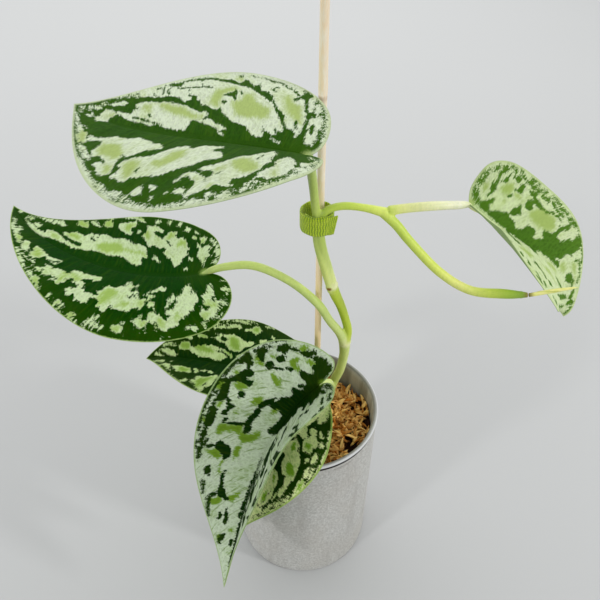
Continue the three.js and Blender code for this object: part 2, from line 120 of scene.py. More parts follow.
# Points of each stalk's centre line with the radius there: x, y, z, radius.
STALKS = {
    "stem": [
        (11, 8, 84, 2.5), (13, 9.5, 100, 2.5), (16, 7, 122, 2.5), (19, 3.5, 137, 2.4),
        (20.2, 0.3, 152, 2.4), (20, -1.5, 163, 2.8), (20.8, -3, 171.5, 2.1), (19.3, -4.7, 180, 2),
        (16.4, -7.6, 191.5, 2.1), (12.8, -10.8, 203, 2.4), (9.6, -14.8, 218, 2.1),
        (6.7, -18.8, 232.3, 1.9), (5.6, -20.1, 242.4, 1.8), (6.4, -20.1, 247.2, 1.7),
        (9.3, -19.6, 249.9, 1.5), (14.8, -18.4, 250.4, 1.5), (22.3, -17.1, 248.7, 1.5),
        (30, -16, 246, 2),
    ],
    "stalk_a": [
        (11.4, -12, 204, 1.5), (8.6, -16.2, 218, 1.7), (5, -19.2, 234.2, 1.6), (4.4, -20, 246.5, 1.6),
        (3.7, -21.5, 253.6, 1.6), (2.9, -26.5, 263.2, 1.6), (2, -35, 273.8, 1.6), (1.2, -45, 283.4, 1.5),
        (0.6, -50.3, 287.5, 1.2),
    ],
    "stalk_b": [
        (20, -1.5, 161, 2.4), (16.8, -6, 173, 2.1), (11.5, -11.4, 186, 1.9), (5.6, -14.6, 199.4, 1.9),
        (-5.9, -10.5, 208, 1.8), (-20.4, -8.5, 214.6, 1.8), (-33, -7.6, 213.5, 1.7),
        (-42.6, -7.2, 209.8, 1.4),
    ],
    "stalk_c": [
        (13, 9.5, 103, 2.2), (9.5, 12.6, 114, 1.8), (2, 11.6, 125, 1.7), (-7.4, 8.1, 133.4, 1.3),
    ],
    "stalk_d": [
        (15.6, 7.5, 118, 2.3), (14.4, -4, 132, 1.9), (12.4, -14, 147, 1.9), (8.8, -21, 154.6, 1.5),
    ],
    "stalk_e": [
        (13.6, 9.2, 104, 2.1), (12.6, 1, 112, 1.8), (9.4, -8.5, 124, 1.7), (4.8, -15, 134.2, 1.4),
    ],
    "stalk_f": [
        (29, -16, 246.2, 2), (37, -15.2, 247.2, 1.8), (48, -14.4, 247.8, 1.8), (63.4, -10.2, 245.7, 1.5),
    ],
    "tip": [
        (29, -16, 246.2, 1.9), (34.6, -17.7, 241.5, 1.9), (40, -20.4, 235.8, 1.8),
        (51.8, -25.4, 225.2, 1.8), (64, -29, 219, 1.8), (76.6, -32, 219.7, 1.9), (84.6, -33.8, 220.7, 1),
    ],
}
NEW_LEAF = [(85, -33.9, 220.8, 0.7), (94, -33, 222, 0.7), (103.5, -31.8, 222.9, 0.5)]

# ---------------------------------------------------------------- making pieces

# How a mesh keeps point data of one, three or four numbers: its kind and its field.
LAYER_KINDS = {1: ("FLOAT", "value"), 3: ("FLOAT_VECTOR", "vector"), 4: ("FLOAT_COLOR", "color")}


def linear(red, green, blue):
    """A colour written as on a screen, 0 to 255, as the light values that shaders take."""
    parts = [c / 255 for c in (red, green, blue)]
    return tuple(c / 12.92 if c <= 0.04045 else ((c + 0.055) / 1.055) ** 2.4 for c in parts) + (1,)


def shade(colour, factor):
    return tuple(factor * c for c in colour[:3]) + (1,)


def make_piece(name, points, faces, material, node, values=None, crease=50):
    """A mesh piece in place of a solid.

    points are in millimetres, values are per-point data, and edges sharper than crease, in degrees,
    are shaded sharp.
    """
    mesh = bpy.data.meshes.new(name)
    mesh.from_pydata((np.asarray(points) * MM).tolist(), [], [list(map(int, f)) for f in faces])
    for key, data in (values or {}).items():
        data = np.asarray(data, float)
        kind, field = LAYER_KINDS[1 if data.ndim == 1 else data.shape[1]]
        layer = mesh.attributes.new(key, kind, "POINT")
        layer.data.foreach_set(field, data.ravel())
    mesh.shade_smooth()
    mesh.set_sharp_from_angle(angle=radians(crease))
    piece = bpy.data.objects.new(name, mesh)
    bpy.context.scene.collection.objects.link(piece)
    piece.data.materials.append(material)
    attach(piece, "root")
    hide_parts(node)


def circle(sides):
    """Evenly spread angles, once round."""
    return np.linspace(0, 2 * pi, sides, endpoint=False)


def bell(distance, width, power=2):
    """1 at no distance, falling smoothly to nothing beyond about the width."""
    return np.exp(-((distance / width) ** power))


class Material:
    """A Principled surface, built up node by node. Values may be numbers or sockets."""

    def __init__(self, name):
        self.result = bpy.data.materials.new(name)
        self.result.use_nodes = True
        self.tree = self.result.node_tree
        self.surface = self.tree.nodes["Principled BSDF"]

    def node(self, kind, inputs=None, **settings):
        made = self.tree.nodes.new(kind)
        for key, value in settings.items():
            setattr(made, key, value)
        for key, value in (inputs or {}).items():
            self.put(made.inputs[key], value)
        return made

    def put(self, socket, value):
        if isinstance(value, bpy.types.NodeSocket):
            self.tree.links.new(value, socket)
        else:
            socket.default_value = value

    def set(self, **inputs):
        """The surface's own inputs, such as base_color or specular_ior_level."""
        for key, value in inputs.items():
            self.put(self.surface.inputs[key.replace("_", " ").title().replace("Ior", "IOR")], value)

    def data(self, name, output="Fac"):
        """What make_piece was given as per-point data under this name."""
        return self.node("ShaderNodeAttribute", attribute_name=name).outputs[output]

    def place(self):
        """Where a point lies on the object, in metres."""
        return self.node("ShaderNodeTexCoord").outputs["Object"]

    def math(self, operation, *values):
        made = self.node("ShaderNodeMath", operation=operation)
        for socket, value in zip(made.inputs, values):
            self.put(socket, value)
        return made.outputs[0]

    def times(self, first, second):
        return self.math("MULTIPLY", first, second)

    def add(self, *terms):
        total = terms[0]
        for term in terms[1:]:
            total = self.math("ADD", total, term)
        return total

    def scaled(self, vector, factors):
        made = self.node("ShaderNodeVectorMath", operation="MULTIPLY")
        self.put(made.inputs[0], vector)
        made.inputs[1].default_value = factors
        return made.outputs[0]

    def turned(self, vector, angle):
        inputs = {"Vector": vector, "Angle": angle}
        return self.node("ShaderNodeVectorRotate", inputs, rotation_type="Z_AXIS").outputs["Vector"]

    def height(self, vector):
        return self.node("ShaderNodeSeparateXYZ", {"Vector": vector}).outputs["Z"]

    def noise(self, vector, scale, detail=2.0, roughness=0.5, reach=None):
        """Noise from 0 to 1, or from -reach to reach where reach is given."""
        inputs = {"Vector": vector, "Scale": scale, "Detail": detail, "Roughness": roughness}
        noise = self.node("ShaderNodeTexNoise", inputs).outputs["Fac"]
        return noise if reach is None else self.math("MULTIPLY_ADD", noise, 2.0 * reach, -reach)

    def net(self, vector, scale, thin, wide):
        """1 on the lines of a net of cells, falling to 0 beside them."""
        inputs = {"Vector": vector, "Scale": scale}
        cells = self.node("ShaderNodeTexVoronoi", inputs, feature="DISTANCE_TO_EDGE")
        return self.step(cells.outputs["Distance"], thin, wide, 1, 0)

    def step(self, value, low, high, to_low=0.0, to_high=1.0):
        """Goes smoothly from to_low to to_high while value goes from low to high."""
        inputs = {"Value": value, "From Min": low, "From Max": high, "To Min": to_low, "To Max": to_high}
        made = self.node("ShaderNodeMapRange", inputs, interpolation_type="SMOOTHSTEP")
        return made.outputs["Result"]

    def mix(self, factor, first, second, blend="MIX"):
        made = self.node("ShaderNodeMix", data_type="RGBA", blend_type=blend)
        self.put(made.inputs["Factor"], factor)
        colour_a, colour_b, colour_out = made.inputs[6], made.inputs[7], made.outputs[2]
        self.put(colour_a, first)
        self.put(colour_b, second)
        return colour_out

    def bump(self, height, distance, strength=1.0):
        inputs = {"Height": height, "Distance": distance, "Strength": strength}
        self.put(self.surface.inputs["Normal"], self.node("ShaderNodeBump", inputs).outputs["Normal"])


# ---------------------------------------------------------------- leaves

HALF_SIGNS = (1, -1)  # of a leaf's halves: left, where out is positive, then right
RIB_SAMPLES = 201
NOTCH_TURNS = ((0.45, 0.12), (1, 0.35))  # the notch's turning points, as shares of lobe and lobe out
MARGIN_STEPS = (12, 44, 110)  # points round the notch, up to the widest place, on to the tip
NOTCH_ROWS = 9  # the rows up to this one start at the midrib's foot
ROW_STEPS, ROW_EASE = 52, 0.85  # steps from midrib to margin, a little closer near the margin
VEIN_TURN = (0.35, 0.65)  # a side vein's turning point: shares of its way along and out
HALF_SHIFT = 7.0  # keeps the noise on one half apart from the other's
QUILT, QUILT_PITCH = 0.16, 6.5  # swell between the side veins
QUILT_FROM_RIB, QUILT_FROM_EDGE = 8, 5  # the swell is full this far from midrib and margin
RIB_GROOVE, RIB_KEEL = 0.35, 0.55  # the midrib, sunk above and proud below
RIM_SHARE, RIM_WIDTH = 0.45, 1.5  # the margin's share of the thickness; one more per RIM_WIDTH inwards
MARK_REACH = 4  # markings matter this far from their edges
WHOLE_LEAF = "-20,-50 130,-50 130,50 -20,50"  # an outline round any leaf


def bezier(points, t):
    a, b, c, d = (np.asarray(p, float) for p in points)
    t = np.asarray(t, float)[:, None]
    s = 1 - t
    return s**3 * a + 3 * s * s * t * b + 3 * s * t * t * c + t**3 * d


def flat_margin(half, length):
    """The flat outline of one half, from the notch round the lobe to the tip: (along, out)."""
    _, _, _, lobe, lobe_out, wide_at, width, roundness, shoulder, taper, point = half
    rest = length - wide_at
    back, widest = (-lobe, lobe_out), (wide_at, width)
    notch = [(0, 0), *[(-x * lobe, y * lobe_out) for x, y in NOTCH_TURNS], back]
    round_lobe = [back, (-lobe, lobe_out + roundness * (width - lobe_out)),
                  (wide_at - roundness * (wide_at + lobe), width), widest]
    to_tip = [widest, (wide_at + shoulder * rest, width),
              (length - taper * rest, taper * rest * tan(radians(point))), (length, 0)]
    parts = zip((notch, round_lobe, to_tip), MARGIN_STEPS)
    return np.concatenate([bezier(part, np.linspace(0, 1, steps + 1)[1:]) for part, steps in parts])


class Blade:
    """The bent middle sheet of a leaf."""

    def __init__(self, leaf):
        self.leaf = leaf
        self.rib = np.array(leaf["rib"], float)
        self.t = np.linspace(0, 1, RIB_SAMPLES)
        line = bezier(self.rib, self.t)
        self.reach = np.concatenate([[0], np.cumsum(np.linalg.norm(np.diff(line, axis=0), axis=1))])
        self.length = self.reach[-1]

    def at(self, along, out):
        """Places on the sheet. out is positive on the left half and negative on the right."""
        inside = np.clip(along, 0, self.length)
        t = np.interp(inside, self.reach, self.t)
        centre = bezier(self.rib, t)
        a, b, c, d = self.rib
        t = t[:, None]
        forward = (1 - t) ** 2 * (b - a) + 2 * (1 - t) * t * (c - b) + t * t * (d - c)
        forward /= np.linalg.norm(forward, axis=1, keepdims=True)
        up = np.array([0, 0, 1.0]) - forward * forward[:, 2:]
        up /= np.linalg.norm(up, axis=1, keepdims=True)
        left = np.cross(up, forward)
        f = inside / self.length
        roll = np.radians(self.leaf["roll"][0] * (1 - f) + self.leaf["roll"][1] * f)[:, None]
        normal = np.cos(roll) * up + np.sin(roll) * left
        across = np.cos(roll) * left - np.sin(roll) * up
        behind = np.minimum(along, 0)[:, None]
        lift = radians(self.leaf["lift"])
        centre = centre + behind * cos(lift) * forward - behind * sin(lift) * normal
        halves = np.array(self.leaf["halves"])[np.where(out >= 0, 0, 1)]
        fold_base, fold_tip, curl, width = halves.T[[0, 1, 2, 6]]
        fold = np.radians(fold_base * (1 - f) + fold_tip * f)
        bend = np.radians(curl) / width
        edge = fold + bend * np.abs(out)
        level = (np.sin(edge) - np.sin(fold)) / bend * np.where(out >= 0, 1, -1)
        rise = (np.cos(fold) - np.cos(edge)) / bend
        return centre + across * level[:, None] + normal * rise[:, None]


def segment_distance(points, line):
    """How far each flat point lies from a line of straight stretches."""
    a, b = line[:-1], line[1:]
    stretch = b - a
    offset = points[:, None] - a[None]
    t = np.clip((offset * stretch).sum(-1) / np.maximum((stretch**2).sum(-1), 1e-12), 0, 1)
    return np.sqrt(((offset - t[..., None] * stretch) ** 2).sum(-1)).min(1)


def within(points, outline):
    """Distance from a closed outline, positive inside it."""
    ring = np.concatenate([outline, outline[:1]])
    a, b = ring[:-1], ring[1:]
    x, y = points[:, :1], points[:, 1:]
    spans = (a[:, 1] > y) != (b[:, 1] > y)
    height = np.where(a[:, 1] == b[:, 1], 1, b[:, 1] - a[:, 1])
    crossed = spans & (x < a[:, 0] + (y - a[:, 1]) * (b[:, 0] - a[:, 0]) / height)
    sign = np.where(crossed.sum(1) % 2 == 1, 1, -1)
    return sign * segment_distance(points, ring)


def path(text):
    """Points written as "along,out along,out" as an array."""
    return np.array([[float(v) for v in pair.split(",")] for pair in text.split()])


# Markings on each flat leaf, "along,out" in millimetres from the stalk, out to the left positive,
# parted by ";". silver and lime are outlines of patches. dark are outlines of holes in the silver, or
# strokes written as "half width: path". A leaf with a length of its own here was drawn at that
# length, and its markings are scaled from it.
MARKINGS = {
    "leaf_a": {
        "length": 109.3,
        "silver": """
        4.7,12 3.2,14 1.6,17 0.4,21 0.4,23.7 1.4,26 1.4,28.3 2.4,29.8 4.7,30.6 5.8,31.8 7.4,31.2 8.9,31
        9.9,32.5 10,30.4 9.3,27.9 8.3,26.6 8,24.8 6.8,24.1 6.1,21.4 6.9,19.5 6.4,16.8 5.6,14; 10,6.4 8.5,11.4
        8.8,15.2 8,19.5 8.2,20.8 9.4,22.9 9.7,26 10.8,26.9 12,28.4 13.5,29.8 15.6,30.8 16.2,32 15.4,34.4
        16.6,34.8 18.2,34.5 20.4,33.3 21.5,35.6 24.3,36.8 27.8,38.4 28.4,37.2 27.5,35.2 26.8,33.3 27.8,30.7
        29,29.9 30.5,28.3 32,29.5 32.5,31 33.7,32 34.3,30.6 33.5,29.4 32.4,27.5 30.8,26.4 29,26.6 27.4,27.5
        25.8,28.5 24.6,29.6 24.2,32.4 23.7,32.4 23.9,30 23,28.6 23.4,27 24.2,25.2 27,25.8 28.4,25.2 28.4,24.4
        27.6,23.2 25.5,21.8 22.8,19.8 20.5,17.9 18.5,15.6 16.6,15.2 15,12.9 13.5,10.6 11.6,9.1; 24.3,16.8
        25.8,18.3 28.9,19.7 30.5,21.2 32.8,22.5 35.1,23.7 36.2,25.2 38.9,26.8 39.8,27.6 42.4,28.4 43.4,27.2
        45.5,27.7 47.8,28.6 49.9,29.2 50.4,30.4 53.1,30.6 54.9,29.4 57.2,29.2 58.3,28.2 57,26.9 56.5,24.6
        58.5,22.8 57.6,20.5 54.9,18.7 51.7,17.4 49.5,16.9 47.2,14.2 45,12.5 42,9.8 39.3,8.3 38.4,9.8 37,10.2
        35.5,8.7 33.2,7.5 30.5,6.8 28.2,6.2 27,8.7 29.3,9.4 29.7,10 28.9,12.4 26.6,12.2 25.5,13.7; 48.3,11.5
        49,9.6 50.6,8.7 53.1,9.2 54.5,7.4 57.6,6.9 60.8,6 64.5,6.9 67.6,7.4 71.3,7.4 73.5,8.7 76.7,9.6
        79.5,10.1 82.2,9.6 83,11 81.7,12.3 78.5,11.9 76.7,11.5 74.5,11.5 73.5,13.3 73.8,15.5 74.8,17 74,18.7
        71.7,19.6 69.5,18.7 67.6,20.4 65,20.9 64.6,21.6 68.5,22.6 69,23.7 66.7,24.6 65.8,26 64,27.8 61.3,28
        59.5,27.4 59,25.5 59.6,23.7 60.6,21.9 60.4,20 59.9,17.8 61.3,17 59.6,17 58.1,18.7 55.4,16.9 52.6,14.2
        49.9,12.8; 82,14 84.5,14.5 87,13.2 90,11 94,8 98,5.2 103,2.8 99,3.1 96,5 94,6.6 90,6.2 88,6.7 88.5,8.6
        85,9 83,11.5 81.5,12.8; 72,21 73.5,19 75.5,18.5 77,17.5 79,15.5 82,15 83.5,15.5 81,17.5 78,19.5
        75.5,20.8; 88,2 90,1.5 92,0 90,-1 84,-1.5 83.5,0 85,0.3 87,1; 93,1 95,1.4 97,0.6 95,0; 99,1 101,1.2
        103,0.4; 14.5,36 15,38 14.3,40 16,40.9 18,40 18.5,38.5 17,37 15.5,36; 19.5,37.3 20,39 21.5,39.5
        22,38.2 21,37; 16,41.5 24,42.9 36,43.6 48,41.5 56,38 66,32.5 76,26 86,18.5 96,11 109,0.3 106,2 98,7
        90,12.6 82,18.3 74,22.8 66,28.3 62,31 59,32 56,34.5 53,37.4 50,38.3 46,38.3 44,40 40,40.3 38,41.3
        32,41.6 28,40.5 25,39.3 23,40.2; 29,35 29.5,36.3 31.5,36.5 32.2,35.5 31.5,34.2 30,34; 33.2,36.4
        34.5,37.2 35,36.5 34,35.7; 38.5,33 39.5,35 40.5,34.5 41.5,32.5 40.5,32.3; 42.5,36.5 44,37 46,36
        48,36.5 49.5,37.8 48.5,38.3 47,37 46.5,34.5 45,32.5 43.8,32.2 43,34; 49.5,35.6 52,34.6 55,34.9 58,33.4
        60,32 56,34.9 53,37 50,37.9; 37.6,38.2 38.8,38.7 39.2,37; -5,24 -3.5,28 -1.5,31 1.5,34 4.5,36.5
        7.3,37.7 7.7,36 7,34.3 5.8,34.5 5.2,33.2 4,34 3,32.6 1.8,31.2 0.7,29 -0.2,27.2 -0.2,24.3 -1.8,23
        -0.8,21 -0.8,18.5 -2.3,17.3 -4,17 -5,13 -6,10 -6.3,15 -6,20; 9,36.2 10,37.3 11,36.8 12.5,37.6 13,37
        11,35.2 12.3,34 11.3,32.8 10.5,34 9.6,35; 8,33.5 9,34.2 9.8,33 9,32 8.2,32.5; -3.6,12.5 -2.6,13
        -1.8,9.5 -2.5,8.5; -0.7,-4.9 2.6,-5.1 3,-8 2.8,-10.7 3.5,-14.5 3.6,-18 3,-19.8 1.8,-19 1.2,-20.5
        2.5,-22.5 3.2,-23.4 4.7,-22.8 5.5,-25 6.3,-28 6.9,-30 6.2,-32.6 5.1,-34.3 3.8,-33.5 4.2,-30.5 4,-28.8
        2.5,-28.6 2.2,-30 0.9,-27.5 -0.5,-24.3 0.8,-23.5 1,-22 -0.9,-20.7 -1.5,-17.5 -1.9,-14.5 -0.4,-13
        -0.8,-10.7 -1.2,-8 -0.3,-6.5; -3,-8 -3.9,-5 -4.6,-8 -4.8,-12 -4.4,-17 -3.6,-21 -2,-25.5 0,-29.5 2,-32
        3.5,-34 6.2,-36.5 5.8,-34.5 3.8,-33.6 2.2,-31.5 0,-28 -1.4,-24.5 -2,-21 -2.8,-16 -3.2,-12; 6.2,-7.2
        7,-9.2 8.2,-10.7 10.1,-10.6 11.2,-13 12.5,-15.3 12.6,-17.2 14.7,-20 16.6,-21.3 18.2,-23.8 19.7,-25.7
        20.5,-28 22.4,-30.3 24.3,-31.2 27.4,-31.5 28,-34.2 28.5,-36.5 29.9,-35 30.8,-33 32.4,-34.5 34.3,-36
        36.6,-37.3 37.4,-35 38.2,-34.5 42.8,-35.3 50,-35 57,-34 60,-31.8 64,-30.5 68,-28 60,-36 50,-40.5
        42,-42.8 32,-43.6 22,-42.5 14,-40.2 8.9,-37.5 9.8,-33.5 10.8,-31.8 10,-30.5 8.5,-29.9 7.4,-27.6 7,-25
        5.8,-21.8 5.1,-18.8 4.9,-15.3 5.1,-12.2 5.3,-9.5; 11.2,-8.9 12.4,-8.8 14.3,-9.9 14.7,-9.2 13.3,-7.2
        13.9,-6.5 15.5,-6.7 17.4,-8 19.1,-9.9 18.2,-7.2 17.6,-4.5 18.9,-4.5 21.2,-4.9 23.2,-6 24.3,-8.4
        27,-9.2 30.5,-10.3 32.8,-11.3 34.3,-12.6 36.6,-13.8 37.4,-15.7 39.3,-17.2 39.7,-15.5 42,-15.9
        45.1,-17.2 46.6,-16.6 48.2,-18 50.8,-19.8 52.6,-22.1 54.9,-21.2 56.3,-21.6 57.2,-24.6 59.9,-24.6
        64,-24.2 64,-29 61.3,-29.8 57.2,-31.6 54.9,-33 50.8,-33.4 46.7,-33.4 42.4,-33 39.7,-32.2 38.2,-32.6
        35.1,-32.6 32.8,-31.5 29.7,-30.3 26.6,-28.8 23.9,-26.8 21.2,-25 18.9,-23 18.2,-21.5 17,-19.5
        15.1,-16.8 13.5,-14.5 12,-11.5; 47.5,-3.2 50,-2.6 57.6,-2.8 59.9,-4.6 60.8,-3.6 61.7,-2.8 75.8,-3.4
        82.2,-4.7 83,-5.5 78.5,-6 74.9,-6.6 75.8,-7.3 76.3,-8.5 74.7,-9 74.5,-9.9 76.7,-10.3 78.2,-11.2
        77.6,-12.1 74,-13.5 69.5,-14.8 64.5,-15.5 59.9,-16.2 55.8,-15.7 52.2,-15 47.6,-13.9 45.8,-13.1
        44,-13.6 42,-12.8 41.6,-11.3 42.4,-10.3 44,-9 47.2,-8.6 47.5,-5.5; 31.8,-2.9 32.8,-2.8 35.2,-4.3
        34.8,-4.9 33,-4.2; 32,-5.8 33.5,-5.2 35.8,-5.8 38.2,-6.9 41.6,-7.5 44.8,-8.2 42.4,-9.5 39.7,-10.3
        37.8,-8.8 34.7,-7.6 32.4,-6.8; 10.8,-2.9 12,-2.9 15,-4.3 14.8,-5 12.5,-4.2 10.8,-3.5; 53,-19 54.5,-18
        56.3,-17.3 58.1,-18.2 59.9,-19.8 62.2,-19.4 65.8,-18.9 68.1,-17.8 70.5,-18 71.5,-16.8 74,-17
        75.5,-15.8 78,-16 80,-14.5 83,-15 84,-13 87,-14 88,-12 90,-12.5 92,-10.5 95,-10 100,-6.2 105,-3
        108.5,-0.8 104,-4 97,-9.5 88,-16 78,-24 68,-30.5 62,-34 63,-30.5 66,-28.5 70,-26.5 72,-24.5 66,-25.2
        62,-25.8 58,-26.8 56,-28 57,-30 55,-29.5 53.5,-28.8 53,-28.2 56,-26.2 58,-25 57,-23 56,-21 54,-20.5;
        81.7,-11 82.6,-8.9 84.9,-8.6 87.6,-7.6 90,-7.6 89,-8.9 85.8,-10.6 83,-11.5; 84,-0.7 85,-0.3 87,-1
        89.5,-1.3 90.4,-2.2 89.5,-3.8 90,-4.8 87.2,-5.5 84,-5.3 82.6,-4 83.5,-2; 92,-4.5 94,-5 97,-4 100,-3
        99,-2 96,-3.2 94,-3; 91,-7 93,-7.5 95,-6.5 93,-6; 93,0 94,-1 96,-1.3 95,0.3; 97,-1.5 99,-2 98,-0.5;
        100,-1 103,-1.5 104.5,-0.8 102,-0.2""",
        "lime": """
        4.5,29.5 5,27 5.5,25.5 6.6,26 6.2,29 5.2,30; 10.5,25.5 12,27.5 15,27 17.5,25 19.5,22.5 20.5,19.5 18,17
        15.5,16.5 14,18 12,20 10.5,22.5; 20.5,23.5 22,26 23.5,26.5 23.5,24 22,22; 27,29.5 28.5,29.5 28,28.5;
        21,34 23,36 23.5,34.5 22,33; 37,17.5 40,21 43,23.5 46.5,22.5 47.5,20.5 46,19 44.5,19 43,14 41,11.5
        38.5,10.5 38,13.5; 50.5,22 50.3,27 51.5,29.5 53.5,28.5 55.5,25.5 57,22.5 55,20 52,19.5; 60.5,19.5
        61,16 64,12.5 66,10.8 70,11 73,12.5 73,16.5 71,19 68.5,18.5 66,19.5 63.5,20; 59.8,27 62,27.2 64.5,23.5
        64,22 61,22.5 60,24.5; 82,14 84.5,14.3 88,11.5 89,8.5 86,8.5 83.5,11; 83,-2.5 85,-1.5 86.5,-3 85,-4.5
        83.5,-4.5; 5.5,-14.5 6.5,-20 8,-25 11,-26.5 13,-29 14.5,-31.5 16.2,-31 16.2,-27.5 14.5,-24 12,-19
        9,-15.5; 18,-14.5 18.5,-19.5 22,-22 26,-24 30,-28 33,-27.5 33,-23 36,-21.5 34,-17 31,-14 26,-12.5
        23,-14.5 21,-14; 40,-17 41,-25 38,-27.5 36.5,-30.5 39,-31 43,-29 46,-28.5 46,-22 44,-18; 43,-10
        44,-11.5 49,-12.5 55,-15 62,-15.3 68,-14.8 65,-12.5 62,-11 56,-9.8 50,-8.9 46,-9; 67.5,-9.3 70,-12.5
        72.5,-13 73,-11 71,-9.3; 37.5,-35.5 38.5,-39 41,-39.5 41,-36""",
        "dark": """
        0.35: 12.8,17 12.9,15.5; 0.3: 12.2,14.2 12.5,12.6; 0.25: 20.5,27 22,27.8; 0.3: 16,31 16.4,33.5; 0.5:
        49.5,26 49.8,24.3; 0.8: 1.4,-11.3 1.6,-14.8; 0.5: 3.3,-24 3.4,-26; 0.5: 7.3,-11.8 8,-15.5; 0.6:
        5.5,-22.6 6.6,-25 7,-28 7.8,-30.7; 0.9: 7.8,-30.7 8.9,-36.5; 10.5,-28.8 11.6,-27.6 12.6,-29.2
        13.3,-30.1 11.2,-30.7 10.1,-31.5 8.5,-31.5; 0.5: 10.5,-31.8 13.2,-34.5 15.1,-36.5 18.9,-38; 0.6:
        15.5,-36.3 18,-37; 0.35: 18.9,-38 21.2,-39 25,-39.2; 0.35: 26,-40 29.3,-40.8; 0.6: 21,-31.8 22.5,-33.5
        20.5,-35; 0.4: 23.5,-37.5 24.5,-39; 0.5: 28.5,-33 29,-36.5; 0.5: 33,-40.5 34.5,-41; 0.4: 39.5,-39
        40.5,-39.8; 34.3,-22.2 36.6,-23.8 38.9,-24.2 41.6,-24.5 39.7,-25.7 37.8,-27.2 37.6,-29.5 36.2,-28.4
        35.8,-25.7 34.7,-23.8; 0.35: 33.7,-27.2 35.3,-28.7; 0.9: 38.4,-20.2 39.3,-20.6; 0.4: 60.8,-4.2 66,-4.8
        73.5,-4.9; 0.35: 65.8,-7.3 67.5,-8; 0.4: 52.5,-19 53,-21.8; 0.5: 48.7,-27.8 53.1,-28.2 56.3,-26.7
        60,-25.4 64.5,-24.9; 0.3: 56,-21.5 57.8,-24.8; 0.3: 53.8,-28.5 55,-30.2; 0.8: 37,-33.6 42.5,-34.2
        46.5,-34.2 52,-34 55.5,-33.2 57,-32.2; 0.35: 57,-31.8 60.5,-30.6 63.5,-29.6; 0.3: 65,-25.5 67,-26.3
        70,-25; 0.45: 65.5,-20 68,-22 68,-23.5; 0.5: 69,-19.5 71,-22 72.3,-23 74.5,-22; 0.3: 72,-18 74,-19;
        0.3: 80,-15.5 82,-17; 0.3: 84,-14 86,-15; 0.5: 90,-9.5 91,-12; 0.35: 88.5,11 92,9.8 95,8 98,5.5; 0.5:
        88.5,7.5 90.5,6.5 92,5.2 96,4 100,2.6 107,0.6; 0.3: 57,36 59,35.2; 0.3: 60,33.5 62,32.7; 0.4: 45,39
        50,39 53.1,37.8; 0.3: 28,42 31,42.2; 0.3: 33,41.6 38,41.7; 0.35: 82,17 84,16; 0.3: 77,18.8 79,17.6;
        0.3: -5.7,24 -5.6,12; 0.4: -2.6,22 -1.5,22.8; 0.4: -1.2,27 -0.6,28; 0.4: 6.5,35.8 6.8,34.6; 0.4:
        -4.2,20 -4.5,18""",
    },
    "leaf_b": {
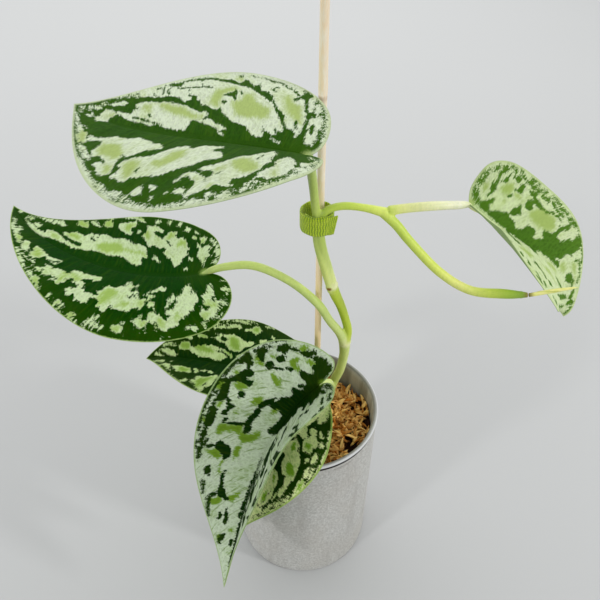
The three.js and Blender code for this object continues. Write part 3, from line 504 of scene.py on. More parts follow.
        "silver": """
        -7.5,20 -8,20.5 -6,21.5 -4,21 -4.5,22 -3,22 -3,25 -1.5,27 -0.5,26 1.5,26.5 2.2,25 2.8,24 2.5,21.5 3,20
        2,20.5 1,22.5 0,23 0,21 1,20 1.5,18 1.7,15.5 1,14 0,13 -0.3,11.5 -1,9 -1.8,8.3 -2.5,11 -2.8,13 -3,15
        -3.5,18.5 -5,18.2 -6,18.5; -9,13 -9.3,14.5 -8,15.5 -7.8,14.5 -6,13 -6.3,12 -8,11.3 -8.3,12.5; -8,8
        -6,7.5 -6.5,6.7 -8,7; -5,24.8 -4,26 -2,27 -2.5,26; 0.8,27.7 1.2,29.3 2.2,29.3 2.5,28 1.5,27.2;
        3.5,29.8 4,31 5,30.7 6.5,30.8 7.2,29.8 6.5,28.5 5.5,28.8 4.5,29.3; 3,15 3.2,17 4,19.5 4.5,22 5.5,22
        6.5,24.5 7.5,26.5 7.5,24.5 8.5,26 9,28 10.5,29.5 12,30 13,31 14.5,31.3 15,31 15.5,29 15.5,27 16.5,28.5
        18,27.5 18.5,25 18.5,23.5 17.5,22.5 17,20.5 16.2,22 15.5,24 14.5,24.5 13,26 11.5,24 13.5,23 13,22
        12,21.5 10.5,20 10.2,17 9.8,14.5 8.5,12.5 8,9.5 7,8 6.5,7 6,9 5.5,9.7 5.8,11.5 5.5,13.5 5,12.5 4.5,11
        4,12.5; 11,14 10.5,15.5 11.5,17 12,18.5 13,20 14,22 14.5,21 13,18.5 13,16 12.5,14 11.5,12.5; 12.5,33
        13.5,33.8 13.8,33 13,32.5; 18,32.5 19,33 19.5,31 20,29.5 21,31.5 21.8,31 21.5,29.5 22.5,28 22,26.5
        21,25 20,24.8 20.5,26.5 19,26.8 18.5,28 18.7,30; 17,19.5 17.2,20.8 19,21 19.5,19.5 18.5,18 17.5,18;
        14.3,10 14.8,11.2 17,11.5 18.5,12.5 20,13 20.5,14 18.5,14 17.5,15 19,15.7 20,17.5 20.5,20 22,22 24,23
        24.5,24.2 26,24 28,24 29.5,24 30,22.5 31,24 32.5,26.2 34,25.5 34,24.5 35.5,24.5 35.5,21 37,20.8
        38.5,21.3 38.5,24.5 40,25 41,24.5 42.5,25 43,24 42.5,23 44,22.5 45.5,24 46.5,24 47,22.5 48,21 47,20
        45.5,19.5 44.5,18.5 45,17 47,17.5 48,16.5 47.5,15.2 49,15 50.5,16.5 50,18.5 51,20.5 53,20.2 55,20
        54.5,19 53,18.5 53.5,18 56,17.7 57,18.8 59.5,19.3 60,17 63.5,18.5 62,16.5 60.5,15.5 62,14 60.5,13.5
        58,14 56,12.5 54,12.7 52.5,13.5 51,12.5 51,10.5 48.5,9.2 46,9.7 44,9.5 42.5,9 41,8.5 40,9.5 39.3,10.5
        40.5,11.3 41.5,12.5 43,12 45,13 45.5,14.5 44,15 43,17 42,19.5 40,19 38.5,19.5 36.5,19.2 38,17 37,16.5
        36.5,14 35,12.8 33,12.5 31,11.5 30,10.5 29.5,8 28.5,7.3 28,9 27,9.7 26,8.5 25,8.8 25.5,10.5 27,12
        27,13.5 25.5,13.5 24.5,12.2 23.8,13.5 24.5,15 23,15.8 23,17 22.5,17.5 21.5,16.5 20.5,15.5 21.5,14
        21,12.5 19.5,11.5 18,10.5 17,9.2 15,8.7; 25,34.5 26,34.7 27,33.5 28,31.5 27,31 26,30 25.5,28.2 25,29
        25.5,31 24.8,32; 30.5,33 31.5,34 33,33.5 35,33.8 35.5,35 36,32.5 35.5,31 34.5,30 33.8,28 32.5,28.3
        33,30.5 33.5,31.5 32,32 31,32; 37.5,34 39,33.5 41,33.2 40,32.8; 39.5,30.5 40.3,33 41,33 41.8,31.5
        41.5,30 40,30; 43.5,32 45,31.5 45.5,30.5 46,29.8 47.3,31 48,29.5 47.8,28.5 47.5,27.3 46,27.7 44.5,28.5
        44.5,30.5; 50,29 51,27 51,26 50.2,27.5; 55.5,26.5 57,25.5 59,24 60,24 61,23 63,23 62,22 60,21
        58.5,21.5 57,23.5 56,25; 62,22.5 65,21.5 64,20.5 61,21.5; 63,21.2 67,20.7 70,19.2 72,17.7 75,15.8
        78,14.2 76,14.3 72,16.3 69,17.8 66,19.3; 60,19 64,18 63,17 60.5,17; 65,16.5 67.5,16 66.5,15.2 65,15.7;
        68,16.6 72,15.7 70,15.3; 60,12 61.5,11.5 60,10.5 59,10.5 59,11.5; 66,12.5 67.5,14.5 70,14.5 71.5,12
        72,10 73.5,8.5 74,7 71.5,6.8 69,7.5 67,8 65,8.5 62,8 59.5,7.5 59,8.5 60.5,9.5 62.5,10 64.5,11 65.5,10
        66,9.5; 73,12.5 73.5,13.5 76,13.5 76.5,12.5 78,10 79,8.3 77.5,7.5 76,8.5 75,9 74,10 73,11; 78.5,11.5
        79.5,12.5 81,11 83,10.5 86,9.5 88,9 89.5,7 91,5 91.3,3.5 89.5,3.2 87.5,5 86.5,6.5 85,7.5 83,8 81.5,8
        80,9.5; 88,8.5 92,7 96,4.5 98.5,3.5 96,3.5 92,5.5; -6.5,-7 -5,-4.5 -3.5,-4.5 -3.5,-6 -5,-8 -5.5,-10
        -5,-12 -6,-14 -5,-16.5 -6.5,-17 -7,-15 -7.5,-12 -7,-9; -0.5,-6 0.3,-4 1,-6.5 2,-8.5 3,-10 2.5,-13
        1.8,-14.5 2.5,-16 2,-18.5 1,-17.5 0.3,-15 -1,-15.5 -2.5,-16.5 -4,-15.5 -4.5,-14 -3,-13.5 -2.5,-11.5
        -3,-9.5 -1.5,-9; -1.5,-18.5 -0.5,-17.5 0.3,-19.5 1,-21 0,-22.3 -1.5,-22 -3,-21.5 -2,-20; -6,-18.5
        -4.5,-18 -4,-19.5 -5,-20; 2,-21.5 3.5,-21 4.5,-22 5.5,-23 5,-24.5 4,-24 3,-23.5; 1,-24.5 3,-24.5
        4,-26.5 3.5,-27.3 2,-26; 5,-7.5 6,-8 6.8,-9.5 7,-10.5 6,-10 5.3,-9; 7.2,-3 8.5,-2.5 9.7,-3.5 9.5,-4.7
        8,-4.5 7,-4; 11,-6.5 12,-5.5 12.7,-6 13,-5 14,-5.5 15,-8 16,-10 17.5,-10.5 19.5,-12 21,-14.3 20,-14.7
        19.5,-16.8 21.5,-16.8 24,-16.7 26.5,-17.8 28,-18 29,-16.5 30.5,-17.5 32,-19.5 34,-20.5 36,-22 37,-23
        36.5,-24.5 36,-26 36.5,-28 37.8,-30.2 36,-30.5 34,-30.3 33,-32 31.5,-30.5 29.5,-31 28.5,-30 27,-29.5
        25.5,-28.5 26,-27 28,-27.5 30,-27.5 31.5,-26.5 29.5,-25 28,-24.5 25.5,-23.5 23.5,-22.5 24.5,-24
        22.5,-25.5 22,-27.5 20.5,-28.5 18.5,-28 16.5,-28 16.5,-26.5 17.5,-25.5 15.5,-24.5 14.5,-22.5 13,-23.5
        11,-24 10.5,-22 9,-21 8.5,-19.5 7.8,-17.5 7.2,-15.5 8.5,-14.5 7.5,-12.5 9,-11 10,-10.5; 21,-7.5
        22.5,-8.5 24,-9 25,-10 24.5,-11 25.5,-12.5 23.5,-11.5 22.5,-10 21,-8.5; 28.5,-5.5 30,-4.7 32,-4.5
        34,-5.5 36.5,-6.5 38.5,-7.5 41,-8 44,-7 46,-6.3 49,-7 53,-6.5 56,-6 57,-5 59.5,-4.8 62,-3.5 65,-3
        68,-3.5 71,-3.3 74,-3 77,-2 79,-0.7 82,-0.2 88,0 94,-0.5 97,-1.5 94,-2 90,-2 86,-2 83.5,-2.2 81.5,-3
        82.5,-4.5 80,-6 77,-6.3 74,-6 71,-5.3 66,-5.2 62,-5.3 61,-6.5 63,-7.5 67,-7 72,-7.3 75.5,-7.5 75,-8.8
        72,-10 70,-11.5 67,-12.3 64.5,-12 63.5,-14 61,-15.5 58.5,-16 57,-17.2 54,-17.5 51,-17 48,-17.5 46,-19
        43,-18.5 40.5,-18 38,-17 36,-18 34,-17 31.5,-16 30,-15 29.5,-13 28.5,-11.5 28,-10 30,-10 30.5,-8.5
        29.5,-7; 86,-3 88,-2.5 91,-2.8 90,-4.5 88,-5 86.5,-4.2; 94,-2.5 97,-2.3 98,-3.5 96,-4.5 94.5,-4;
        102,-1.5 105,-0.8 106,-1.8 103.5,-2.5; 77,-12 79,-10.5 82,-10.3 85,-8.5 89,-8 92,-7 96,-5.5 93,-7
        90,-9 86,-11 83,-13 79,-12.5; 67.5,-17 70,-16 73,-15 75.5,-16.5 77,-17.5 75,-18.5 71,-19 69,-18;
        62.5,-20.5 65,-19.5 68,-19.5 70.5,-21 69,-22 66,-21.5; 56.5,-23 59,-21.5 61.5,-21.8 64,-23.5 63,-25
        61,-26.5 59,-25.5; 60,-27.5 66,-25.5 64,-27.5 61,-29; 43,-22.5 44,-21.5 46,-21.5 48,-22.5 50,-22.5
        53,-24 55,-25.5 54.5,-27 52,-28 50.5,-30 47,-31 45,-30 44,-29 44.5,-27.5 46,-26 45,-24.5 43.5,-24;
        39.3,-24.5 40.5,-23.5 41,-24.5 41.5,-26.5 40.3,-26.5 39.5,-25.5; 40,-31.5 44,-32 48,-32.5 52,-32.5
        48,-34.5 43,-34; 47,-33 52,-31.5 56,-30.5 52,-33.5; 6.5,-28 8,-27 9.5,-27.5 11,-28 10,-29.5 10,-31
        8,-31 6.5,-29.5; 11,-28.5 11.8,-28 12,-29 11.3,-29.3; 13.5,-33 14,-32 15.5,-31.5 16.5,-33 16,-34.8
        14,-34.5; 20.5,-35.5 22,-34 23,-32.5 24.5,-34 26,-34.5 25,-35.8 22,-36; 30.5,-34 32,-32 34,-33.5
        34,-35 32,-35.5; 15.5,-30.5 17.5,-31.5 18,-32 16.5,-31.8""",
        "lime": """
        30.5,15.5 31.5,19 32.5,22 35,24 36,20 36.5,16.5 35,14 33,13.5; 20,17 21.5,20 23,20.5 23,17.5; 25,20
        27,22 29,22 28,19; 50.5,12 51,18 52,20 53.5,17 53,14.5 54.5,13.5; 45,14 47,16 49,14.5 50.5,12.5 48,12;
        13.3,25.5 13.5,29 14.8,30.5 15.5,29 15.5,26.5 14.5,25; 19,27 19,30 20,29.5 21,27; -4,20 -2,21.5 0,21
        1,20 0,18 -1,19.5 -3,19.3; 0,24.5 2,26 2,23.5 0.5,23.5; 8.5,24 9.5,26.5 10.5,25 10,23; 26,34 27.5,32.5
        26,31; 39.5,30.5 40.3,33 41,33 41.8,31.5 41.5,30 40,30; 44,31.5 46,29.5 47.5,29 46.5,28; 55.5,26.5
        58,24.5 60,23.5 59.5,21.5 58,22.5 56.5,24.5; 66,12.5 69,13.5 71,11 73,8.5 71,7.5 68,9; 79,12 82,10
        84,8.5 81.5,8.5; 9,-16.5 11,-18 14,-17.5 15,-20 13,-22 11,-22 9.5,-20.5; 17,-24 21,-22.5 22,-25 21,-28
        18,-27.5; 32,-21 34,-22 36.5,-24 36,-27 34,-27 32,-25; 28.5,-10.5 31,-11 35,-11.5 40,-11.5 46,-8
        50,-7.5 54,-8 56,-10 53,-13 48,-15 44,-15.5 42,-13.5 36,-13 31,-13.5; 65,-8.5 68,-8 72,-7.8 73,-9
        70,-11 66,-11; 67.5,-17 70,-16 73,-15 75.5,-16.5 77,-17.5 75,-18.5 71,-19 69,-18; 56.5,-23 59,-21.5
        61.5,-21.8 64,-23.5 63,-25 61,-26.5 59,-25.5; 46,-23.5 50,-25 51,-28 48,-29.5 45.5,-28.5 46.5,-26;
        2.5,-21.5 4,-22 5,-24 3.5,-23.5; -1.5,-18.5 -0.5,-18 0.3,-20 -1,-21; 40,-33 48,-33.5 46,-34.5; 74,-4
        78,-3 80,-5 76,-5.5""",
        "dark": """
        -3,19 -2,19 -1.5,17.5 -2,16 -3,16.5; 0.3: -5.5,20.8 -4.5,20.4; 23.8,16.8 25,16.3 26,15 25.5,14.5
        24,15.5; 0.3: 25.6,17 27,16; 0.4: 18,-18.5 20.5,-21.5; 0.25: 20,-21 24,-24; 0.4: 58,-12 61,-12.5; 0.4:
        58,-14 59.5,-14""",
    },
    "leaf_c": {
        "silver": """
        33.5,14 34,20 34.5,22.5 36,25 37,27.5 39,26.5 41,25 42,23 44,21.5 45.5,20.5 46,19 44.5,18 44.5,16
        43,15.3 40.5,15.7 38.5,15 36.5,14 35,13; 47,20 49,21.5 51,21.5 50,19.5 48,18.3; 37,12 38.5,12.3
        40,11.5 41,10 39.5,9.5 38,10.5 36,10.3; 41.5,10 42.5,11.3 44.5,11.5 45.5,10.5 44.5,10 43,9.5;
        45.5,12.5 46.5,13.5 48,12.5 49,11 49.5,9.5 48,9 47,9.8 46,11; 49,13.5 51,14 54,13.8 56,14 58.5,13.5
        60.5,12 62.5,10.5 64,9 62,8.5 59,8.8 56,9 53,9.2 51.5,10 50.5,11.5 49.5,12.5; 62,13.5 64,13 66,11.5
        69,9.8 72,8.3 71,7 69,7 67,8 65,9 64,11; 71,5.8 73,6.5 76,6.3 79,5.5 81,4.5 78,4 75,4.2 73,4.5; 66,5.5
        67.5,6 68,4.8 66.5,4.5; 50,21.8 53,21.5 56,19 54,19.3; 57,18.5 61,17 64,15 60,16.5; 66,13.5 72,10.5
        78,7 73,9; 36.5,-4.5 38,-2.5 40,-1.5 43,-1.2 45,-2 48,-2.5 51,-2 54,-2.2 56.5,-3 58.5,-4 61,-5 64,-4.7
        66.5,-4.8 68,-6 67.5,-8 65,-9.8 62.5,-10 61,-9 60,-7.5 58,-6.8 56.5,-8.5 54,-8.7 51,-9.5 49,-10
        46.5,-10 44,-9.5 42,-8.5 40,-6.8 38.5,-5.5; 33.5,-4.5 34.5,-4 36,-5.5 38,-6.5 40.5,-7.5 42.5,-9 40,-9
        37,-7.5 34.5,-6.5; 67,-1.5 68,-0.5 71,-0.3 74,-1 76,-2.5 78,-3 80,-4.5 78.5,-5 76,-5 73,-4.5 70,-3.5
        68.5,-2.5; 77,-0.5 80,-0.2 82,-1 84,-1.3 83,-2.5 80,-1.8 78,-1.5; 68,-6.8 71,-6 74,-6.5 77,-6.5 79,-6
        77,-8 73,-8.5 70,-8; 30,-10 32,-8.7 35,-8.7 37.5,-9.5 39.5,-11 40.5,-12.5 42.5,-12.5 45,-13 47,-13.7
        48.5,-14.5 50.5,-14.5 48,-15.7 45.5,-16.5 49,-17.3 46,-18 43,-18 41,-19 39,-19.8 36.5,-19.3 33.5,-18.3
        31,-17.3 29,-16.7 27,-17.7 25,-18 23.5,-17 24.5,-15.5 26,-14 28.5,-12.5 29.5,-11; 52,-14 54,-13.3
        57,-13.2 58.5,-14 57.5,-15.3 55,-15.5 53,-15; 60.5,-11.5 62.5,-11 65,-12 67,-13 64.5,-14 62.5,-13.5
        61,-12.7; 59,-14.5 61,-14 63,-15.5 61,-16; 57.5,-18 60,-17 62,-18.5 59.5,-19.5; 63,-15.5 66,-16
        64.5,-17.3; 22.5,-28 23.5,-26 24.5,-24.3 26,-23.5 28,-24.5 30,-25 31.5,-24 33,-23.7 33.5,-25.5
        31,-26.5 29.5,-27.5 29,-29.5 27.5,-30.5 25.5,-30 24,-28.7; 35,-25 36.5,-24 38,-24.5 40,-24 42,-23.2
        44,-22.5 45,-23.5 43,-24.7 45,-25.5 42.5,-25.8 40,-26.5 38,-27.5 36,-26.5; 44,-22 46.5,-21.5 49,-21
        51,-19.5 52,-21 50,-22.5 47.5,-23.5 45.5,-23.8; 48,-24 52,-22 54,-23 50,-25; 31,-30 36,-29 42,-28.5
        48,-26.5 42,-29.8 36,-31.5; 53,-18.5 55,-17.5 56,-19 54,-20; 16,-32.5 20,-31 22,-33 18,-34; 28,-32
        34,-31 40,-30 32,-33; 13,-23.5 14,-22.5 15.5,-24 15,-26 13.5,-25.5; 2,10 4,20 9,24 12,20 9,13 5,8;
        13,10 14,18 18,24 24,26 26,22 22,15 17,10; 27,10 31,16 32,22 32.5,15 31,9; 3,-8 3,-16 7,-22 10,-20
        8,-12; 12,-8 13,-16 18,-22 22,-20 20,-13 16,-8; 24,-5 28,-9 32,-6 30,-3; -6,8 -4,20 0,22 1,14 -2,9""",
        "lime": """
        36,15.5 37,19 38.5,23 40,25 42,23 43,20 42,17 39.5,16; 51,12 52,13.5 55,13.5 57,12.5 58.5,10.5 57,9.5
        54,9.8 52,10.5; 45,-6 48,-5 51,-5 54,-5.5 57,-6 58.5,-7.5 56,-9 53,-9.3 49,-8.5 46.5,-7.5; 60.5,-5.5
        63,-5 66,-5.5 67.5,-7 66,-9 63.5,-10 61,-8.5; 31.5,-10 33.5,-9.3 35.5,-10 38,-12 39.5,-14.5 40,-17
        38,-18.5 35.5,-17.5 33.5,-15.5 32,-13; 52.5,-14.3 54,-13.5 57,-13.5 57,-15 54.5,-15.3; 24,-27.5 25,-25
        27,-25.5 28.5,-27 28,-29.5 26,-29.5; 15,13 17,21 22,23 22,17 18,12; 66,13.3 72,10.3 71,9.3 67,11.5;
        34,-5 37,-6.5 40,-8 36,-7.5""",
        "dark": """
        0.3: 40,-6.5 44,-7; 0.9: 41.5,-15 44.5,-15.5; 0.3: 68,-7.3 74,-7.5; 0.3: 44,19 46,18; 0.3: 37,21
        38,24""",
    },
    "leaf_d": {
        "silver": WHOLE_LEAF,
        "lime": """
        38.5,-7 41,-6.5 42.5,-7.5 45,-8.5 46,-10.5 47,-13 46,-15.5 44,-16.5 43.5,-18.5 44,-21 45,-24 47,-25
        47,-26.5 45,-28 42.5,-27.3 41,-25 41.5,-23 40.5,-20.5 39,-18.5 38.5,-17 40,-16.3 42,-16 42,-12.5
        41,-10.5 39,-9; 25,-14.5 27,-14.5 28,-17 27.5,-19.5 26,-19.5 24,-18.5 23,-17 23.5,-15.5; 22,-25
        24,-25.5 25.5,-28 24.5,-30 23.5,-32 22,-31 21.5,-28; 24,-6 26,-5.5 28,-7 28,-8.5 26,-8.5 24.5,-7;
        25,-36 26.5,-34.8 28.5,-35 28.5,-37 27,-38.5 24.8,-38.5; 10,-27 11.5,-26 12,-29 11,-32 9,-33 8.5,-31.5
        10,-29.5; 12,-15 14,-12.5 15.5,-15 14,-18 12.5,-20 11,-20 11.5,-17.5; -4,-10.5 -2,-11 -2,-14
        -3.5,-15.5 -5,-12.5; 2,-13 4,-12 4.5,-15 4,-17.5 2,-19.5 -1,-19 -1,-17.5 1.5,-16.5; 18.5,-33 20,-33
        20.5,-35 19,-35.5; 42,-35 43,-33.8 44,-34 43.5,-36 41.5,-36; 34.5,-21.5 35.2,-21.5 35,-24 34,-23.5;
        32.5,-30.8 35,-30 36,-32 34.5,-33.2 32.8,-32.5; -8,-20 -5,-19.5 -4,-21.5 -6,-23 -8,-22; 4,-26 6,-25
        6.5,-27.5 5,-28; 54.5,-21 57,-20 59,-21 59,-23 57.5,-25 58,-27 56,-27.5 55,-25.5 54,-24; 71,-5 74,-5
        75,-6.5 78,-7 78,-8.5 77,-10.5 75.5,-10 73.5,-8 72,-6; 77,-13.5 80,-13 82,-14.5 82.5,-17 82,-18.5
        80,-19.5 79,-18 79,-16.5 77,-15.5; 90,-3 92.5,-3.5 93,-5.5 91,-5.3; 57,-18 60,-18.5 66,-17.5 65,-18.8
        60,-19.5; 48,-13 54,-12 57,-14 53,-15.5 49,-15; 96,-9 100,-10 98,-11.5; 49,33 54,32 60,22 58,18 53,24;
        34,38 38,33 44,22 41,24""",
        "dark": """
        0,0 -3,-2 -7,-3.5 -9,-5 -8.5,-8 -9,-11 -7,-14 -5.5,-14.5 -5.5,-12 -4,-10.5 -2,-10 -1.5,-8 0,-6 1,-7
        2,-9 2.5,-12 4,-11 5,-9 5,-6 6,-4.5 8,-4 9,-3 11,-5 11,-7 12,-8 13,-6.5 14,-5 16,-5.5 17.5,-7 18,-8.5
        20,-8.5 22,-10 24,-11.5 25,-10 25.5,-8 24,-6.5 25,-4.5 26,-2.5 30,-2.5 34,-4 36,-5 37.5,-3 37.5,-1.5
        32,-1 36,-0.6 36,0.5 33,1 30,2 28,3.5 25,4 22,3.5 21.5,5 19,4.8 17,3.5 14.5,4 13.5,6 14,8.5 13,9.5
        10.5,8 9,6 8.5,8 8,11 7,11 5,9.5 3.5,9.5 2,6 0.5,5; 8,-5 9,-5 9.5,-6.5 8.5,-7.2 7.5,-6; 20,-10.5
        22,-10.5 24.5,-11 26,-12.5 28,-13.5 30,-13 32,-12.8 34,-13.8 37,-13.8 38.5,-12.5 41,-12.5 42,-14
        42,-15.2 39,-15.5 37,-16 34.5,-16.2 32,-15.2 29,-14.8 26,-15 24,-14 22,-12.5; 0.5: 38,-16 39,-19
        40,-21.5 40.5,-23.5; 38.5,-25 40,-25 41.5,-26.5 39.5,-26.5; 32.5,-25 34,-25.5 35.5,-27 37.5,-26.5
        38,-28.5 36,-28.5 34,-27.5 33,-28.5 31.5,-30 30,-30 31,-28.5 32.5,-27.5; 26,-23.8 27,-23.8 28,-25.5
        26.5,-27 25,-26.5 25.5,-25; 19,-24.5 21.5,-25 21.5,-30 23,-33 25,-34.5 25,-36 24.5,-38 23,-37.5
        23,-35.5 21,-33 19.5,-33 18,-32 16.5,-31.5 15.5,-29 16,-27 17.5,-27 19.5,-29 20,-27; 0.5: 15,-37.5
        20,-38.3 25,-38.5 31,-38; 0.5: 30,-36 31,-38; 0.4: 33,-38 40,-37.5 48,-35.6; 6,-31.5 8,-29.5 9,-27.5
        10,-28.5 9.5,-31 8,-33 7.5,-35 6,-34 4.5,-31.5 5,-30.5; 10,-36 11.5,-33 12.5,-31 14.5,-30.5 15.5,-31
        14,-32.5 14,-34 15.5,-35 15.3,-36.5 15.8,-38 12,-37 10,-36.8; 25,-33 28,-31.5 31,-30.5 32.3,-31.5
        32.5,-33.2 34,-34 36,-33.2 37,-31.5 40,-31 43,-30.2 45,-31.5 47,-32 49,-31 52,-31.5 51,-33 47,-33
        43,-34.2 40,-35 34,-35 29,-34.8 26,-35.5 24.5,-35; -6,-15.5 -5,-15 -3.5,-18 -4,-20 -5.5,-19.5 -6.5,-18
        -8.5,-17 -8.5,-15.5; -2,-25 0,-24.5 1.5,-23.5 1.5,-26 2,-28 0,-29 -1.5,-28 -2,-26.5; 0.5: -3.5,-22
        -2,-24.5; 2.5,-22.5 4,-21 5.5,-22 6,-24 4.5,-25 3,-24.5; 8,-23.5 9.5,-22.5 10,-24 10.8,-25.5 9,-26.2
        8,-25; 4.7,-15 5.7,-15 6,-18 5.3,-18; 0.25: 7.5,-18.5 11,-24; 0.3: 4,-33 6,-30.5; 0.3: 3,-31
        5.5,-33.5; 0.4: -3,-30 1,-33.5; 50,-22 51,-20.5 50.5,-19 52.5,-17 54.5,-16.2 56,-16.5 57.8,-18
        57.5,-19 55.5,-20 54.5,-21.5 54,-22.5 54,-24 53,-25 51,-24 50,-23; 63,-24 64.5,-23 66,-22.8 67.5,-22.2
        68,-23 68,-24.8 66,-25.2 64,-25.3; 0.5: 72,-24 74,-23.8; 0.35: 74,-24 78,-22.8; 63,-15.3 65,-15.8
        69,-15.3 72,-14 74,-12.5 76,-11 77,-12 77,-15 76,-16 73,-16 70,-15.8 67,-17 65,-16.7; 76,-10 77.5,-10
        78.2,-12 76.5,-12; 0.6: 76.5,-17 78,-18.7; 0.5: 79,-19.3 84,-18.8 89,-18; 82,-9 84,-8.5 86,-8
        88.5,-7.6 90,-8 90,-9 87,-9.3 83,-9.5; 85,-11.8 86.5,-11 88,-11.2 89,-12.5 86.5,-12.7; 95,-7 97,-7
        99,-8 101,-8.5 100.5,-9.5 98,-9.8 96.5,-8.5; 0.5: 97,-2.5 99.5,-2.6; 0.7: 53,-26.5 54,-28; 0.6:
        51.5,-29.5 54,-29.8; 0.7: 50,-32 51.5,-32; 0.6: 54,-31 57,-31.2 60.5,-30.5; 0.3: 54,-34 56,-33.6; 0.3:
        51,-0.8 60,-1.1 72,-1.6 84,-2; 0.3: 60,-0.4 75,-0.6 92,-0.6 110,-0.2; 0.3: 70,-1 83,-1.1; 26.5,6
        28,8.5 31,9.5 34,10 36,11.5 36,10 33.5,9 31,7.5 28.5,6.5; 37,1.6 40,2.5 42,3.5 45,4.5 47,5 49,7 51,7
        51.5,5 52,3 50,1.5 47,1.2 43,1.3 41,1; 50,8 52,8.5 57,8 57,5.5 55,4.5 53,5 52,6.5; 57,1 60,2 63,1.5
        66,3 66,5 69,4.5 71,6.5 72.5,6 72,4 71,1.5 70,0.5 60,0.5; 80,7 81.5,8 83,9.5 84.5,8 85.5,6 85,4 83.5,3
        83,1 81,3 80,5; 0.6: 78,2 79,1.5; 0.4: 88,1 100,0.8; 0.35: 90,4 100,2.6; 0.3: 60,4.5 66,4 72,3; 0.35:
        74,4 84,3; 0.4: 36,4 42,5.5; 0.35: 53,3 60,3.2; 0.5: -6,20 -4.5,16; 0.5: -4.5,18 -5,13; 0.4: -5,9
        -3,5; 0.5: -1,18 -0.5,13.5; 0.5: -3.5,29 -1.5,23; 0.7: -1,34 0.5,28; 0.8: 9,15.5 10.5,13.5; 0.4:
        13.5,12.5 16,13; 0.9: -1,9 1,6; 0.6: -4,8 -2,4; 0.8: 15,21.5 18,18.5 20,16.5; 0.9: 6.5,40 10,35 13,29
        16.5,22; 0.8: 12,37 16,29 20,23 23,20; 20.5,41 24,40.5 27,37 31,33.5 35,29 38.5,23 40,17 42,13 38,12.5
        35,18 31,24 27,30 23,36; 0.5: 30,40 36,35 41,29 45,22; 0.5: 41,20 43,17 44,13; 0.6: 37,43 46,38 52,35
        55,30; 0.9: 50,12.5 54,13 58,14; 0.9: 62,13.5 66,14 68,15; 0.9: 56,34 61,27 65,20 67,16; 0.6: 58,28
        62,21 64,15; 0.5: 66,31 71,22 76,13; 0.8: 20,41 30,41 38,43; 0.6: 33,38 38,37 45,36; 0.7: 16,43.5
        20,40""",
    },
    "leaf_e": {
        "silver": """
        0,12 1,16 3,19 6,20 8,19 9,16 8,13 10,10 13,9 16,11 17,13 18,10 17,6 20,3 24,0 6,0 4,3 1,5 -1,9; 14,17
        15.5,20 16,21.5 17.5,21.5 18.5,20 20,20 21,18 22,15.5 21.5,13 20,12 18.5,11.5 16.5,14 15,14.5; 12,14
        12.5,17 13.5,18.5 14.5,16.5 15,13.5 13.5,12; 20,6 22,10 24,12 26,14.5 28,15.8 31,16 34,16 36,15
        38,14.5 40,14.5 41,13.8 43,14 45.5,13 45,11.5 43,11 41,12 38,11.5 36,10.5 36.5,8 35.5,6 34,4.5 31,4
        29,3.5 28.5,1.5 30,0 25,0 22,3; 39,1 38.5,3.5 40,6 43,7.2 46,7 49,8 52,7.5 55,7 58,5.5 61,4 63,1 61,0
        45,0 41,0; 45,10.6 47,10.3 50,9.7 47,9.4; 26,22 28,23.5 30,22 29,20.5 27,21; 31,21.5 33,24 36,23.5
        39,22.5 40,20.5 37,19.5 34,20 33,19.5; 20,24.5 23,24.5 24,22.5 22,21.5 20,22.5; 23,20 24.5,20
        25.5,18.5 24,18; 25,25 28,25.8 29,24.8 26,24.2; 41,18.3 44,18.8 46,16.5 44,16.2; 46,15.2 49,14.8
        51,12.8 48,13.2; 50,12.2 54,10.8 58,8.8 53,10.2; 54,12.2 60,9.3 66,6.2 62,6.7 57,9.3; 15,23 16,25
        17,23.5 16.5,22.5; 12,20 13,23 13.8,21 13,19.5; 10,27 15,30 22,30.5 29,28.5 36,25.5 44,21 52,16 60,12
        70,8 80,4.5 90,2 80,4 70,6.5 60,9.5 52,13.8 44,18.8 36,23.3 29,26.7 22,28.5 15,28 10,25.5; 60,8.5
        70,6.5 80,3 92,0 64,0 62,4 59,6.5; 4,-10 6,-13 10,-16 13,-19 18,-22 26,-24 32,-30 34,-38 26,-41 15,-40
        6,-32 1,-24 -1,-14; 14,-10 15,-13 14,-18 20,-20 28,-21 33,-23 40,-30 46,-34 56,-28 66,-20 76,-11 86,-5
        60,-7 40,-8 26,-9; 8,-2 20,-1.5 40,-1.5 60,-2.5 80,-2.5 92,-1 60,-0.5 20,-0.5""",
        "lime": """
        30,9 30,13.5 32,15.3 34,14.5 35,11 34,8.5 32,7; 18,17 19,19 20.5,17 20,14 18.5,14; 50,4 55,5.5 58,3
        54,1; 21,6 24,9 26,7 24,4; 40,3 43,5.5 45,4 42,2; 12,27.5 20,29.5 28,27.8 36,24.5 28,28.3 20,30; 31,22
        34,22.8 37,21 34,20.5; 28,-14 32,-15 37,-20 36,-24 32,-22; 30,-26 34,-26 38,-33 42,-35 38,-36 33,-32;
        12,-25 16,-24 18,-28 15,-33 12,-31; 11,-36 15,-35 15,-41 11,-39; 68,-10 74,-10.5 76,-12 70,-12""",
        "dark": """
        0.6: 7.5,13 9,12.2; 0.5: 9.5,11.3 11,10.7; 0.4: 3,19.5 5.5,20.5; 0.4: 6.5,5 8,4; 0.3: 15,5 17,3.5;
        0.3: 13,7 15,8; 0.5: 52,13.2 58,10.4 64,7.4 72,3.5; 0.35: 60,8.5 66,5.5 72,3; 0.5: 54,5.5 60,3.5
        64,2.2; 0.3: 44,17.3 50,14.3 56,11.3; 0.3: 48,6 54,4; 0.35: 22,10 24,11; 0.3: 26,28.2 34,25.8 42,21.5
        50,17; 0.3: 14,28.5 20,29.4; 0.3: 56,12.6 64,9.3 72,6.6; 0.8: 79,3 84,2.5; 0.4: 62,1.5 68,0.8; 45,-26
        50,-24 56,-26 54,-29 48,-30; 0.5: 10,-36 16,-35""",
    },
    "leaf_f": {
        "silver": WHOLE_LEAF,
